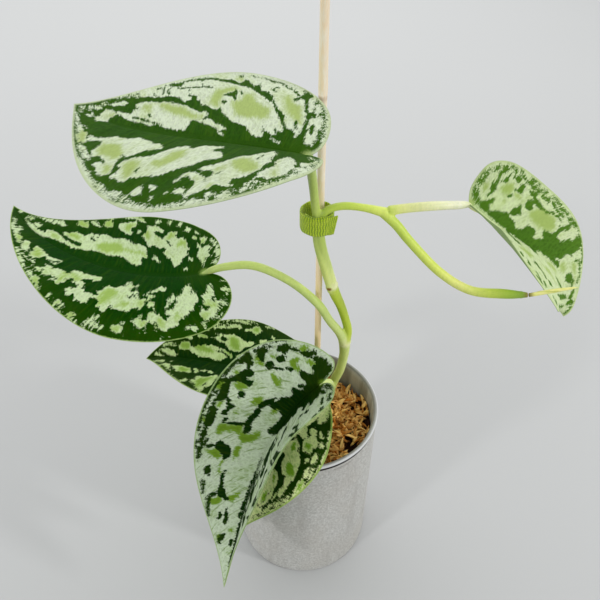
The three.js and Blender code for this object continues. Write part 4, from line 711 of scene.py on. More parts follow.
        "lime": """
        30,11 34,14 38,16 42,16 48,16 51,13 50,10.5 46,9 40,8.5 35,9; 7,12 9,15 12,16.5 14,15 14,12 11,10.5
        8,11; 66,2 68,5 71,5 72,2 69,1; 16,14 20,14.5 23,13 18,12.5; 13,9 15,9.5 14.5,8; 82,7 84,6 83,5; -2,9
        0,10 2,8 0,6.5; 73,9 77,10 80,8 76,6.5; 55,-2 62,-3 66,-1 60,0; 14,-14 24,-18 30,-22 20,-22; 50,-6
        58,-8 64,-8 56,-5; 2,-4 8,-3 12,-6 6,-8; 30,-6 38,-8 44,-5 36,-4""",
        "dark": """
        -5.5,9.5 -4,9 -3,7 -2,5.5 -0.5,5 1,3.5 3,3.5 5,4 6,5 7,7 8.5,7 9,5.5 8,4 10,3 11,2.5 13,4 15,4.5 17,5
        19,6 21,6 22.5,5 25,5 27,4.5 27,3.5 30,3 33,4 34,6 36,7 38,7 41,7 41,5 40,4 43,3.5 45,5 48,6 46,7
        45.5,9 49,9.5 51,9.5 53,12 53,14.5 56,16 58,19 60,19.5 59.5,16 57,15 55,13 55,10 58,10 61,12 63,14
        66,15 67,18 69,20 71,20 72,17 71,13 70,10 67,9 65,6.5 64.5,4.5 60,3 62,2.5 65,3.5 66,1 50,1 47.5,0.5
        47.5,-1.5 45,-1.5 42,0 30,0.5 15,1.2 3,1.8 0,1.8 -2,3 -4,5.5 -3,6.5 -4.5,8; 2,14 3,14 4,11 5.2,10.5
        5.2,7.5 4,6 3.5,8.5 1,11 0.8,11.8 2.5,11.3; -4.8,13.5 -4.2,14 -3.5,12 -2.5,10 -2.5,8 -3.5,8.5
        -5.8,10.2 -5.5,11 -4.8,10.5 -4,11; -2.8,14.2 -2.5,16.5 -1.8,17.5 -1.2,17 -1.5,15.5 -2,14.5; 0,18 1,19
        3,19 3.5,18 3,17 2,16 2.5,14.5 1.5,14 0.5,15.5 1.5,17 0,17.5; 4.5,14 5.5,14.5 6,17 6.5,18 7.5,16.5
        8.5,15.5 8,14.5 6,14.3 5,13.5; 10,18 11,19 13,20 14,19.5 15,17.8 13.5,17.8 12,18; 3.5,20.3 6,21 9,20.3
        9.5,19 8,19.8 6,20; 9,22 12,22 15,20.8 14.5,20.3 12,21.2; 15,15 16.5,15.2 17,17 16,17.5 16.5,18
        19.5,18 20,16 20,15 17.5,15 15.5,14.5; 15,20 17,20.5 20,20.5 22,21 25,20.5 25,19.5 21,19.6 18,19.8;
        13.5,11.3 15,12.5 16,12 14.5,11; 23,18 25,18 28,19 29.5,19 30,17.5 32,17 36,16.5 38,15.8 42,16 45,17.5
        47,17 50,17.5 53,16.5 48,16.8 44,16.5 41,15.3 36,15 33,15 30,14.8 28,15.2 26,14 26,15 27.5,15.3
        30,15.5 30,16.8 27,17 24,17.3; 26,14.5 29,15 31,14 32,13 30,12 27,11.5 26.5,13; 22,11 24,11.5 25,11.5
        26,10 27,9 25.5,8 24,6.5 23,7 21.5,6 21,8.5 20.5,9 23,9.5 23.5,10.5; 0.4: 30,21 34,21.5; 0.5: 33,19.5
        36,19.5 38.5,20 39,18.5; 0.6: 42,20 44,19; 0.3: 40,22 45,21.8 47,21.3; 0.3: 48,20.5 54,21; 0.7: 56,20
        60,20.5 62,21; 0.5: 58,17 60,20; 0.6: 62,20 64,21.5 66,20.5; 0.35: 73,17 76,16 78,14; 0.3: 74,10.5
        76,12.5 79,12 81,11; 0.4: 83,10 83.5,8; 74,2.5 76,5 78,6 81,4 80,2 76,1; 0.9: 88,2 92,3 91,0.5; 0.5:
        94,2.5 98,0; 0.7: 81,5 83,4; 0.6: 86.5,5 87,3; 0.4: -6,13 -5,8; 0.4: 0,20.5 4,21.8; 0.35: 20,22
        26,22.3; 0.4: 26,20.3 30,19.8; 0.4: 46,18.8 52,18.6; 0.8: 27,-0.5 30,-2.5 33,-3; 1: 27,-13 28.5,-11.5;
        0.8: 32,-15 34,-12; 0.8: 47,-10.5 50,-12.5; 0.7: 42,-9 46,-10.5; 0.9: 54,-13.5 57,-13; 1.1: 44,-19
        46,-17.5; 0.9: 38,-16.5 40,-18; 0.7: 35,-20 38,-21.5; 64,-5 70,-5 75,-5.5 70,-6.3 65,-6; 66,-13 72,-10
        78,-6 84,-2 88,0 84,-4 78,-9 72,-12.5; 0.6: 68,-18 76,-14.5 84,-9 90,-4; 0.7: 54,-20.5 60,-20; 0.4:
        20,-9 24,-7; 0.5: 4,-14 10,-17; 0.5: 12,-20 18,-22; 0.6: 2,-8 5,-10""",
    },
}


def dark_reach(flat, mark):
    """How far outside a dark stroke or outline each flat point lies."""
    if ":" not in mark:
        return -within(flat, path(mark))
    half_width, line = mark.split(":")
    return segment_distance(flat, path(line)) - float(half_width)


def inside_any(flat, outlines):
    """How far inside any of the outlines each flat point lies."""
    return np.max([within(flat, path(outline)) for outline in outlines.split(";")], axis=0)


def leaf_fields(name, flat):
    """How far inside silver and lime patches each flat point lies, in millimetres."""
    marks = MARKINGS[name]
    holes = np.min([dark_reach(flat, mark) for mark in marks["dark"].split(";")], axis=0)
    silver = np.minimum(inside_any(flat, marks["silver"]), holes)
    return [np.clip(field, -MARK_REACH, MARK_REACH) for field in (silver, inside_any(flat, marks["lime"]))]


# Each leaf's colours, the width of its pale rim in mm, how speckled its margin is, how far its silver
# spreads beyond the outlines in mm, how ragged and how coarse the outlines are, how softly its lime
# fades, how much the lime deepens inwards, and how clear the green threads through its silver are.
LEAF_LOOKS = {
    "leaf_a": dict(
        dark=(38, 74, 10), silver=(218, 229, 202), lime=(176, 196, 118), rim=(204, 216, 180),
        rim_width=1.0, speckle=1.5, spread=0.12, rough=1.0, coarse=1.0, soft=1.8, deepen=0, threads=0.25),
    "leaf_b": dict(
        dark=(8, 52, 0), silver=(202, 220, 174), lime=(162, 192, 98), rim=(160, 188, 110),
        rim_width=0.35, speckle=0.8, spread=0.1, rough=1.2, coarse=2.0, soft=1.5, deepen=0.2, threads=0.25),
    "leaf_c": dict(
        dark=(4, 38, 0), silver=(186, 206, 146), lime=(136, 170, 72), rim=(160, 184, 110),
        rim_width=0.4, speckle=1.2, spread=0.05, rough=1.1, coarse=2.0, soft=1.1, deepen=0.6, threads=0.3),
    "leaf_d": dict(
        dark=(10, 40, 4), silver=(202, 216, 190), lime=(118, 154, 46), rim=(168, 192, 134),
        rim_width=0.6, speckle=1.2, spread=-0.25, rough=1.0, coarse=1.8, soft=0.6, deepen=0.8, threads=0.7),
    # leaf_e's colours are painted brighter than its own, as painted light against the shade of leaf D on it
    "leaf_e": dict(
        dark=(16, 50, 3), silver=(250, 255, 196), lime=(144, 190, 54), rim=(180, 204, 112),
        rim_width=0.8, speckle=1.2, spread=0.4, rough=1.1, coarse=1.8, soft=0.7, deepen=0.4, threads=0.3),
    "leaf_f": dict(
        dark=(70, 108, 30), silver=(216, 230, 182), lime=(176, 200, 112), rim=(202, 218, 162),
        rim_width=0.8, speckle=1.3, spread=-0.1, rough=1.1, coarse=1.6, soft=1.4, deepen=0.1, threads=0.25),
}
THREAD_ANGLE = 35  # the threads cross the side veins at this slant
YOUNG_GREEN = (0.02, 0.026, 0.0005)  # what young green has over the dark green
UNDER_DARK, UNDER_PALE, UNDER_RIB = linear(140, 165, 110), linear(165, 185, 135), linear(190, 205, 150)


def leaf_material(name, look):
    """Silver and lime patches on dark green, ragged along the side veins and speckled by the margin."""
    m = Material(name)
    dark, silver, lime, rim = [linear(*look[part]) for part in ("dark", "silver", "lime", "rim")]
    rim_width, spread, rough, coarse, soft = [
        look[part] for part in ("rim_width", "spread", "rough", "coarse", "soft")]
    flat, vein, edge = m.data("flat", "Vector"), m.data("vein", "Vector"), m.data("edge")

    # noise along the side veins, and noise that has no direction
    streak = m.noise(m.scaled(vein, (2.1 / coarse, 0.36 / coarse, 1)), 1.0, 4, 0.68, reach=2.0)
    fine = m.noise(m.scaled(vein, (3.2, 0.7, 1)), 1.0, 2, 0.6)
    wash = m.noise(m.scaled(vein, (0.22, 0.08, 1)), 1.0, 2)
    band = m.noise(m.scaled(vein, (0.9, 0.09, 1)), 1.0, 3, 0.65)
    net = m.net(m.scaled(vein, (1, 0.6, 1)), 0.62, 0.02, 0.22)
    along_thread = m.turned(vein, radians(THREAD_ANGLE))
    thread = m.noise(m.scaled(along_thread, (1.5 / coarse, 0.09, 1)), 1.0, 3, 0.6)
    fleck = m.noise(flat, 1.3, 4, 0.8, reach=1.7)
    grain = m.noise(flat, 3.6, 3, 0.65)
    mottle = m.noise(flat, 0.9, 4, 0.75)

    # where silver, lime and rim lie
    margin = m.step(edge, 7, 1.5)
    fleck_weight = m.step(margin, 0, 1, 0.7 * rough, look["speckle"])
    ragged = m.add(m.times(streak, rough), m.times(fleck, fleck_weight))
    silver_depth = m.times(m.data("silver"), m.step(margin, 0, 1, 1, 0.6))
    is_silver = m.step(m.add(silver_depth, ragged), -spread, 0.28 - spread)
    lime_depth = m.add(m.data("lime"), m.times(ragged, 1.2))
    is_lime = m.step(lime_depth, -0.3 - 0.6 * soft, soft)
    is_rim = m.step(m.add(edge, m.times(fleck, 0.5)), 1.5 * rim_width, 0.2 * rim_width, 0, 0.9)

    # the colours of each
    pale = m.mix(m.step(fine, 0.38, 0.66, 0, 0.9), silver, shade(silver, 0.78))
    pale = m.mix(m.step(mottle, 0.5, 0.66, 0, 0.55), pale, shade(lime, 0.95))
    pale = m.mix(m.step(wash, 0.45, 0.7, 0, 0.45), pale, lime)
    pale = m.mix(m.times(net, m.step(mottle, 0.4, 0.6, 0.2, 0.65)), pale, shade(silver, 1.14))
    pale = m.mix(m.step(thread, 0.56, 0.66, 0, look["threads"]), pale, shade(lime, 0.75))
    leafy = m.mix(m.step(fine, 0.4, 0.7), lime, shade(lime, 0.85))
    leafy = m.mix(m.step(lime_depth, 0.4, 2.2, 0, look["deepen"]), leafy, shade(lime, 0.72))
    young = tuple(1.2 * part + more for part, more in zip(dark, YOUNG_GREEN)) + (1,)
    green = m.mix(m.step(edge, 14, 2, 0, 0.5), dark, young)
    green = m.mix(m.step(band, 0.46, 0.68, 0, 0.7), green, young)
    green = m.mix(m.step(fine, 0.48, 0.75, 0, 0.4), green, shade(dark, 2.2))
    green = m.mix(m.times(net, 0.22), green, shade(dark, 2.2))

    # the upper side, paler where it joins the stalk, and the plain underside
    upper = m.mix(is_silver, green, m.mix(is_lime, pale, leafy))
    upper = m.mix(is_rim, upper, m.mix(m.step(grain, 0.4, 0.65, 0, 0.6), rim, lime))
    from_stalk = m.node("ShaderNodeVectorMath", {0: flat}, operation="LENGTH").outputs["Value"]
    upper = m.mix(m.step(m.add(from_stalk, fleck), 3.2, 0.5, 0, 0.75), upper, lime)
    from_rib = m.math("ABSOLUTE", m.data("across"))
    under = m.mix(m.step(fine, 0.35, 0.7, 0, 0.5), UNDER_DARK, UNDER_PALE)
    under = m.mix(m.step(from_rib, 1.2, 0.4, 0, 0.8), under, UNDER_RIB)
    m.set(base_color=m.mix(m.data("under"), upper, under),
          roughness=m.step(m.add(grain, m.times(is_silver, 0.4)), 0.3, 1.1, 0.5, 0.75),
          specular_ior_level=0.02)
    m.bump(m.add(m.times(fine, 0.8), m.noise(flat, 2.2, 2)), 0.00014, 0.7)
    return m.result


def half_net(half, sign, length):
    """Rows of points that bend from the midrib to the margin of one half, and the quads between.

    Beside the flat points come their vein data: how far along the leaf the row lies, how far the
    point lies from the midrib, and the half's own shift.
    """
    margin = flat_margin(half, length)
    rows = len(margin)
    share = np.clip((np.arange(rows) - NOTCH_ROWS) / (rows - 1 - NOTCH_ROWS), 0, 1)
    root = (length * share**VEIN_SWEEP)[:, None]
    t = (np.linspace(0, 1, ROW_STEPS + 1) ** ROW_EASE)[None]
    s = 1 - t
    end_along, end_out = margin[:, :1], margin[:, 1:]
    turn_along = root + VEIN_TURN[0] * (end_along - root)
    along = s**2 * root + 2 * s * t * turn_along + t * t * end_along
    out = np.maximum(0, 2 * s * t * VEIN_TURN[1] * end_out + t * t * end_out)
    row_place = np.broadcast_to((np.arange(rows) / (rows - 1) * length)[:, None], along.shape)
    from_rib = t * np.hypot(end_along - root, end_out)
    flat = np.stack([along.ravel(), sign * out.ravel()], -1)
    vein = np.stack([row_place.ravel(), from_rib.ravel(), np.full(along.size, HALF_SHIFT * sign)], -1)
    number = np.arange(along.size).reshape(along.shape)
    corners = [number[:-1, :-1], number[:-1, 1:], number[1:, 1:], number[1:, :-1]]
    quads = np.stack([corner.ravel() for corner in corners], -1)
    return flat, vein, quads if sign < 0 else quads[:, ::-1]


def leaf_net(leaf, length):
    """Both halves as one net, with each point and corner once: flat points, vein data, faces."""
    left, right = [half_net(half, sign, length) for sign, half in zip(HALF_SIGNS, leaf["halves"])]
    flat, vein = [np.concatenate([left[i], right[i]]) for i in (0, 1)]
    quads = np.concatenate([left[2], right[2] + len(left[0])])
    _, kept, index = np.unique(np.round(flat, 4), axis=0, return_index=True, return_inverse=True)
    faces = []
    for quad in index.reshape(-1)[quads].tolist():
        corners = [corner for i, corner in enumerate(quad) if corner != quad[i - 1]]
        if len(corners) > 2:
            faces.append(corners)
    return flat[kept], vein[kept], faces


def sheet_normal(blade, flat, sheet, nudge=0.05):
    """The sheet's upward direction at each flat point, from short steps that stay on its half."""
    at_tip, on_left = flat[:, 0] > blade.length - 2 * nudge, flat[:, 1] > -1e-9
    along, out = np.where(at_tip, -nudge, nudge), np.where(on_left, nudge, -nudge)
    on_along = blade.at(flat[:, 0] + along, flat[:, 1]) - sheet
    on_out = blade.at(flat[:, 0], flat[:, 1] + out) - sheet
    normal = np.cross(on_along, on_out) * np.sign(along * out)[:, None]
    return normal / np.linalg.norm(normal, axis=1, keepdims=True)


def twice(values):
    return np.concatenate([values, values])


def make_leaf(name, material):
    """A blade with an upper and a lower skin, thin at the margin and quilted between its veins."""
    leaf = LEAVES[name]
    blade = Blade(leaf)
    flat, vein, faces = leaf_net(leaf, blade.length)
    sheet = blade.at(flat[:, 0], flat[:, 1])
    normal = sheet_normal(blade, flat, sheet)
    left, right = [flat_margin(half, blade.length) * (1, sign)
                   for sign, half in zip(HALF_SIGNS, leaf["halves"])]
    edge = segment_distance(flat, np.concatenate([[(0, 0)], left, right[::-1], [(0, 0)]]))

    out = np.abs(flat[:, 1])
    rib_size = np.clip(1.15 - np.clip(flat[:, 0] / blade.length, 0, 1), 0.1, 1)
    rib = rib_size * bell(out, 1.1 * rib_size + 0.2)
    full = np.clip(out / QUILT_FROM_RIB, 0, 1) * np.clip(edge / QUILT_FROM_EDGE, 0, 1)
    quilt = QUILT * np.cos(vein[:, 0] * 2 * pi / QUILT_PITCH) * full
    half = BLADE_THICKNESS / 2 * np.clip(RIM_SHARE + edge / RIM_WIDTH, 0, 1)
    top = sheet + normal * (half + quilt - RIB_GROOVE * rib)[:, None]
    bottom = sheet - normal * (half - quilt + RIB_KEEL * rib)[:, None]

    count = len(sheet)
    edges = dict.fromkeys((face[i - 1], corner) for face in faces for i, corner in enumerate(face))
    skin = faces + [[corner + count for corner in reversed(face)] for face in faces]
    skin += [[b, a, a + count, b + count] for a, b in edges if (b, a) not in edges]
    scale = MARKINGS[name].get("length", blade.length) / blade.length
    silver, lime = leaf_fields(name, flat * scale)
    make_piece(name + "_blade", np.concatenate([top, bottom]), skin, material, name, {
        "flat": twice(np.concatenate([flat * scale, np.zeros((count, 1))], 1)),
        "vein": twice(vein * scale),
        "silver": twice(silver),
        "lime": twice(lime),
        "edge": twice(edge * scale),
        "across": twice(flat[:, 1] * scale),
        "under": np.concatenate([np.zeros(count), np.ones(count)]),
    })


for name, look in LEAF_LOOKS.items():
    make_leaf(name, leaf_material(name, look))

# ---------------------------------------------------------------- lines, tubes and skins

SPLINE_STEPS = 24  # between two given points of a centre line


def centre_line(points, step):
    """Evenly spread places on the smooth line through points, with the radius at each."""
    points = np.array(points, float)
    ends = np.concatenate([[2 * points[0] - points[1]], points, [2 * points[-1] - points[-2]]])
    spans = len(points) - 1
    t = np.linspace(0, spans, spans * SPLINE_STEPS + 1)
    i = np.minimum(t.astype(int), spans - 1)
    u = (t - i)[:, None]
    a, b, c, d = (ends[i + k] for k in range(4))
    line = 0.5 * (2 * b + (c - a) * u + (2 * a - 5 * b + 4 * c - d) * u**2 + (3 * b - a - 3 * c + d) * u**3)
    reach = np.concatenate([[0], np.cumsum(np.linalg.norm(np.diff(line[:, :3], axis=0), axis=1))])
    even = np.linspace(0, reach[-1], max(3, int(reach[-1] / step)) + 1)
    return np.stack([np.interp(even, reach, line[:, k]) for k in range(4)], -1)


def side_directions(line):
    """Two directions square to a line and to each other, which turn smoothly along it."""
    forward = np.gradient(line, axis=0)
    forward /= np.linalg.norm(forward, axis=1, keepdims=True)
    side = np.empty_like(forward)
    last = np.array([1, 0.2, 0.1])  # the first side lies about along x
    for i, ahead in enumerate(forward):
        last = last - ahead * last.dot(ahead)
        last /= np.linalg.norm(last)
        side[i] = last
    return side, np.cross(forward, side)


def ring_faces(rings, sides):
    """The quads between closed rings that follow one another."""
    corners = ((0, 0), (0, 1), (1, 1), (1, 0))
    return [[(i + up) * sides + (k + on) % sides for up, on in corners]
            for i in range(rings - 1) for k in range(sides)]


def end_faces(rings, sides):
    """The faces that close the first and the last ring."""
    return [list(range(sides))[::-1], list(range((rings - 1) * sides, rings * sides))]


def tube(line, sides, radius=None):
    """A closed round tube along x, y, z, radius. A radius given apart may differ round each ring."""
    side, other = side_directions(line[:, :3])
    angle = circle(sides)[:, None]
    radius = np.broadcast_to(line[:, 3:4] if radius is None else radius, (len(line), sides))
    ring = side[:, None] * np.cos(angle) + other[:, None] * np.sin(angle)
    points = (line[:, None, :3] + ring * radius[..., None]).reshape(-1, 3)
    return points, ring_faces(len(line), sides) + end_faces(len(line), sides)


def joined(parts):
    """Several (points, faces) as one."""
    faces = []
    first = 0
    for points, part_faces in parts:
        faces += [[corner + first for corner in face] for face in part_faces]
        first += len(points)
    return np.concatenate([points for points, _ in parts]), faces


def grown_together(points, faces, voxel, rounds):
    """Overlapping closed shapes as one soft skin: its points, their normals and its faces."""
    mesh = bpy.data.meshes.new("skin")
    mesh.from_pydata(points.tolist(), [], faces)
    holder = bpy.data.objects.new("skin", mesh)
    bpy.context.scene.collection.objects.link(holder)
    remesh = holder.modifiers.new("remesh", "REMESH")
    remesh.mode, remesh.voxel_size = "VOXEL", voxel
    soften = holder.modifiers.new("soften", "SMOOTH")
    soften.factor, soften.iterations = 0.5, rounds
    skin = holder.evaluated_get(bpy.context.evaluated_depsgraph_get()).to_mesh()
    places, normals = np.empty((len(skin.vertices), 3)), np.empty((len(skin.vertices), 3))
    skin.vertices.foreach_get("co", places.ravel())
    skin.vertices.foreach_get("normal", normals.ravel())
    quads = [list(polygon.vertices) for polygon in skin.polygons]
    bpy.data.objects.remove(holder)
    return places, normals, quads


# ---------------------------------------------------------------- vine

STALK_STEP, STALK_SIDES = 0.8, 18
STALK_CLEAR = 4  # a stalk's own points end this far before its leaf, then it bends into the midrib
SKIN_VOXEL, SKIN_ROUNDS = 0.42, 3
TINT_GAIN, TINT_LIMIT = 1.38, 0.95  # the stalks' colours are brightened by the first, to the second
TINT_BLEND = 0.45  # how softly the colours of stalks that meet run into each other
# How a stalk runs on under its blade: place along the midrib, depth below the sheet, radius.
STALK_ENDS = [(0.5, 0.9, 1.15), (3.0, 1.0, 0.8), (7.0, 0.7, 0.4)]
# Colours along each stalk: place from 0 to 1, colour.
STALK_COLOURS = {
    "stem": [
        (0, (150, 168, 70)), (0.3, (196, 205, 125)), (0.4, (186, 198, 110)), (0.414, (226, 228, 165)),
        (0.43, (178, 194, 54)), (0.52, (168, 186, 44)), (0.643, (170, 188, 52)), (0.655, (226, 228, 172)),
        (0.678, (206, 213, 138)), (0.73, (180, 194, 110)), (0.79, (165, 182, 92)), (0.86, (158, 178, 72)),
        (0.93, (176, 194, 74)), (1, (205, 215, 105)),
    ],
    "stalk_a": [(0, (205, 212, 125)), (0.3, (184, 198, 106)), (0.6, (168, 186, 94)), (1, (156, 178, 92))],
    "stalk_b": [
        (0, (225, 228, 160)), (0.08, (190, 203, 122)), (0.4, (178, 194, 112)), (0.8, (182, 198, 110)),
        (1, (190, 205, 130)),
    ],
    "stalk_c": [(0, (170, 185, 95)), (1, (180, 195, 110))],
    "stalk_d": [(0, (170, 185, 95)), (0.6, (185, 200, 115)), (1, (205, 215, 150))],
    "stalk_e": [(0, (170, 185, 95)), (1, (180, 195, 110))],
    "stalk_f": [
        (0, (190, 206, 90)), (0.12, (215, 224, 140)), (0.35, (226, 232, 165)), (0.7, (238, 242, 190)),
        (1, (214, 222, 150)),
    ],
    "tip": [
        (0, (190, 205, 95)), (0.15, (185, 203, 85)), (0.45, (205, 215, 100)), (0.62, (226, 230, 128)),
        (0.8, (190, 205, 85)), (0.9, (150, 178, 58)), (0.97, (120, 150, 52)), (1, (120, 95, 45)),
    ],
}
# Leaf scars and joints: stalk, place along it, how proud the ring stands, its half width.
RINGS = [
    ("stem", 0.16, 0.25, 0.8), ("stem", 0.416, 0.22, 0.7), ("stem", 0.653, 0.28, 0.6),
    ("tip", 0.965, 0.12, 0.5),
]
RING_REACH = 1.2  # a ring leaves other stalks alone that lie further off than this
SCAR = (10.5, -14.4, 207.0)  # where the brown scar lies on the stem


def stalk_end(leaf):
    """Where a stalk runs on into the midrib, under its blade, with the radius there."""
    blade = Blade(leaf)
    along, depth, radius = np.array(STALK_ENDS).T
    rib = np.zeros(len(along))
    on = blade.at(along, rib)
    forward = blade.at(along + 0.1, rib) - on
    left = blade.at(along, rib + 0.1) - blade.at(along, rib - 0.1)
    down = np.cross(left, forward)
    down /= np.linalg.norm(down, axis=1, keepdims=True)
    return np.concatenate([on + down * depth[:, None], radius[:, None]], 1)


def stalk_lines():
    """The centre line of each stalk, those of the leaves led on into their midribs."""
    lines = {name: centre_line(points, STALK_STEP) for name, points in STALKS.items()}
    for letter in "abcdef":
        line, end = lines["stalk_" + letter], stalk_end(LEAVES["leaf_" + letter])
        clear = line[np.linalg.norm(line[:, :3] - end[0, :3], axis=1) > STALK_CLEAR]
        lines["stalk_" + letter] = centre_line([*clear[::-5][::-1], *end], STALK_STEP)
    return lines


def vine_material():
    m = Material("vine")
    place = m.place()
    mottle = m.noise(m.scaled(place, (1, 1, 0.25)), 900, 3, 0.6)
    tint = m.mix(m.step(mottle, 0.35, 0.7, 0, 0.16), m.data("tint", "Color"), linear(150, 186, 60))
    # painted shade: the side of the skin that faces left is darkened to a deeper green
    tint = m.mix(m.step(m.data("shade"), 0.75, 0.05, 0, 0.42), tint, linear(96, 124, 18), "MULTIPLY")
    tint = m.mix(m.step(m.data("scar"), 1.5, 0.5), tint, linear(132, 96, 30))
    m.set(base_color=tint, roughness=m.step(mottle, 0.3, 0.7, 0.34, 0.5), specular_ior_level=0.4,
          subsurface_weight=0.15, subsurface_radius=(0.9, 1.0, 0.3), subsurface_scale=0.0015)
    m.bump(m.noise(m.scaled(place, (1, 1, 0.12)), 1600, 2), 0.00008, 0.5)
    return m.result


def make_vine():
    """All stalks grown into one skin, with rings at the joints and each stalk's own colours.

    Beside the colours, its data are the distance from the scar, and a painted shade that goes from 1
    where the skin faces right to 0 where it faces left, the side painted a deeper green as shade.
    """
    lines = stalk_lines()
    points, faces = joined([tube(line, STALK_SIDES) for line in lines.values()])
    points, normal, quads = grown_together(points, faces, SKIN_VOXEL, SKIN_ROUNDS)
    colour, weight, proud = np.zeros((len(points), 3)), np.zeros((len(points), 1)), np.zeros(len(points))
    for name, line in lines.items():
        gap, nearest = np.full(len(points), 1e9), np.zeros(len(points))
        for i, (*spot, radius) in enumerate(line):
            away = np.linalg.norm(points - spot, axis=1) - radius
            nearest = np.where(away < gap, i, nearest)
            gap = np.minimum(gap, away)
        share = nearest / (len(line) - 1)
        stops = [stop for stop, _ in STALK_COLOURS[name]]
        tones = np.array([linear(*tone)[:3] for _, tone in STALK_COLOURS[name]])
        tones = np.minimum(TINT_GAIN * tones, TINT_LIMIT)
        near = np.exp(-np.clip(gap, -1, 12) / TINT_BLEND)[:, None]
        colour += near * np.stack([np.interp(share, stops, tones[:, k]) for k in range(3)], -1)
        weight += near
        for _, spot, height, width in [ring for ring in RINGS if ring[0] == name]:
            from_ring = (share - spot) * len(line) * STALK_STEP
            proud += height * bell(from_ring, width) * (gap < RING_REACH)
    make_piece("vine_stalks", points + normal * proud[:, None], quads, vine_material(), "vine", {
        "tint": np.concatenate([colour / weight, np.ones((len(colour), 1))], 1),
        "scar": np.linalg.norm(points - SCAR, axis=1),
        # painted shade: 0 where the skin faces left, 1 where it faces right
        "shade": np.clip(0.5 + 0.5 * normal[:, 0], 0, 1),
    }, crease=180)


make_vine()

# ---------------------------------------------------------------- furled leaf

FURL_STEP, FURL_SIDES = 0.35, 20
FURL_TWIST = 5.5  # how far the rolled edge turns round the leaf from foot to tip, in radians
FURL_EDGE = 0.16  # how far the rolled edge stands above the turn below, as a share of the radius
FURL_SLIM = ([0, 0.15, 0.55, 0.9, 1], [0.75, 0.82, 0.8, 0.42, 0.08])  # share of the way, radius


def new_leaf_material():
    m = Material("new_leaf")
    streak = m.noise(m.scaled(m.place(), (0.3, 1, 1)), 1800, 2)
    base = m.mix(m.step(streak, 0.35, 0.7), linear(238, 234, 150), linear(224, 226, 120))
    base = m.mix(m.step(m.data("seam"), 0.25, 0.02, 0, 0.6), base, linear(170, 180, 70))
    base = m.mix(m.step(m.data("share"), 0.12, 0.0), base, linear(140, 130, 60))
    m.set(base_color=base, roughness=m.step(streak, 0.3, 0.7, 0.35, 0.5))
    m.bump(streak, 0.00006, 0.5)
    return m.result


def make_new_leaf():
    """The furled leaf: a slim roll whose free edge winds round it."""
    line = centre_line(NEW_LEAF, FURL_STEP)
    share = np.linspace(0, 1, len(line))[:, None]
    turn = (circle(FURL_SIDES)[None] - FURL_TWIST * share) % (2 * pi) / (2 * pi)
    radius = np.interp(share, *FURL_SLIM) * (1 + FURL_EDGE * (turn - 0.5))
    points, faces = tube(line, FURL_SIDES, radius)
    make_piece("furled_leaf", points, faces, new_leaf_material(), "new_leaf", {
        "seam": turn.ravel(), "share": np.broadcast_to(share, turn.shape).ravel(),
    }, crease=60)


make_new_leaf()

# ---------------------------------------------------------------- tie

STRAP_STEP, STRAP_ROWS = 0.16, 22  # steps along the strap, points up each of its faces
STRAP_RIB, STRAP_RIBS_PROUD = 0.8, 0.13  # from rib to rib, and how far a rib stands out
STRAP_LOOPS = 9  # rows of hooks up the strap's width
STRAP_EDGE = 0.55  # how much thinner the strap is at its edges, as a share
STRAP_GAP, TAIL_CURL = 0.3, 0.5  # between one turn and the next, and how far the free end bends out


def strap_path():
    """The strap's way seen from above, the direction outwards on it, and how far its foot slants."""
    mean = TIE_INNER + TIE_THICKNESS / 2
    wound = TIE_TURNS * 2 * pi
    steps = int(wound * mean / STRAP_STEP)
    share = np.linspace(0, 1, steps + 1)
    angle = radians(TIE_START) + share * wound
    outward = np.stack([np.cos(angle), np.sin(angle)], -1)
    radius = mean + (TIE_THICKNESS + STRAP_GAP) * share * TIE_TURNS
    spots = TIE_CENTRE + radius[:, None] * outward
    tail = np.linspace(0, TIE_TAIL, int(TIE_TAIL / STRAP_STEP) + 1)[1:, None]
    ahead = np.array([-outward[-1, 1], outward[-1, 0]])
    curl = TAIL_CURL * (tail / TIE_TAIL) ** 2
    spots = np.concatenate([spots, spots[-1] + tail * ahead + curl * outward[-1]])
    outward = np.concatenate([outward, np.repeat(outward[-1:], len(tail), 0)])
    slant = np.concatenate([np.zeros(steps + 1), TIE_SLANT * tail[:, 0] / TIE_TAIL])
    return spots, outward, slant


def tie_material():
    m = Material("tie")
    fuzz = m.noise(m.place(), 2600, 3, 0.7)
    blotch = m.noise(m.place(), 420, 2)
    fuzzy_rib = m.add(m.data("rib"), m.times(fuzz, 0.6))
    base = m.mix(m.step(fuzzy_rib, 0.3, 1.1), linear(104, 136, 0), linear(190, 216, 24))
    base = m.mix(m.step(blotch, 0.35, 0.7, 0, 0.35), base, linear(192, 208, 54))
    m.set(base_color=base, roughness=m.step(fuzz, 0.3, 0.7, 0.75, 0.95),
          sheen_weight=0.25, sheen_roughness=0.5)
    m.bump(fuzz, 0.00025, 0.8)
    return m.result


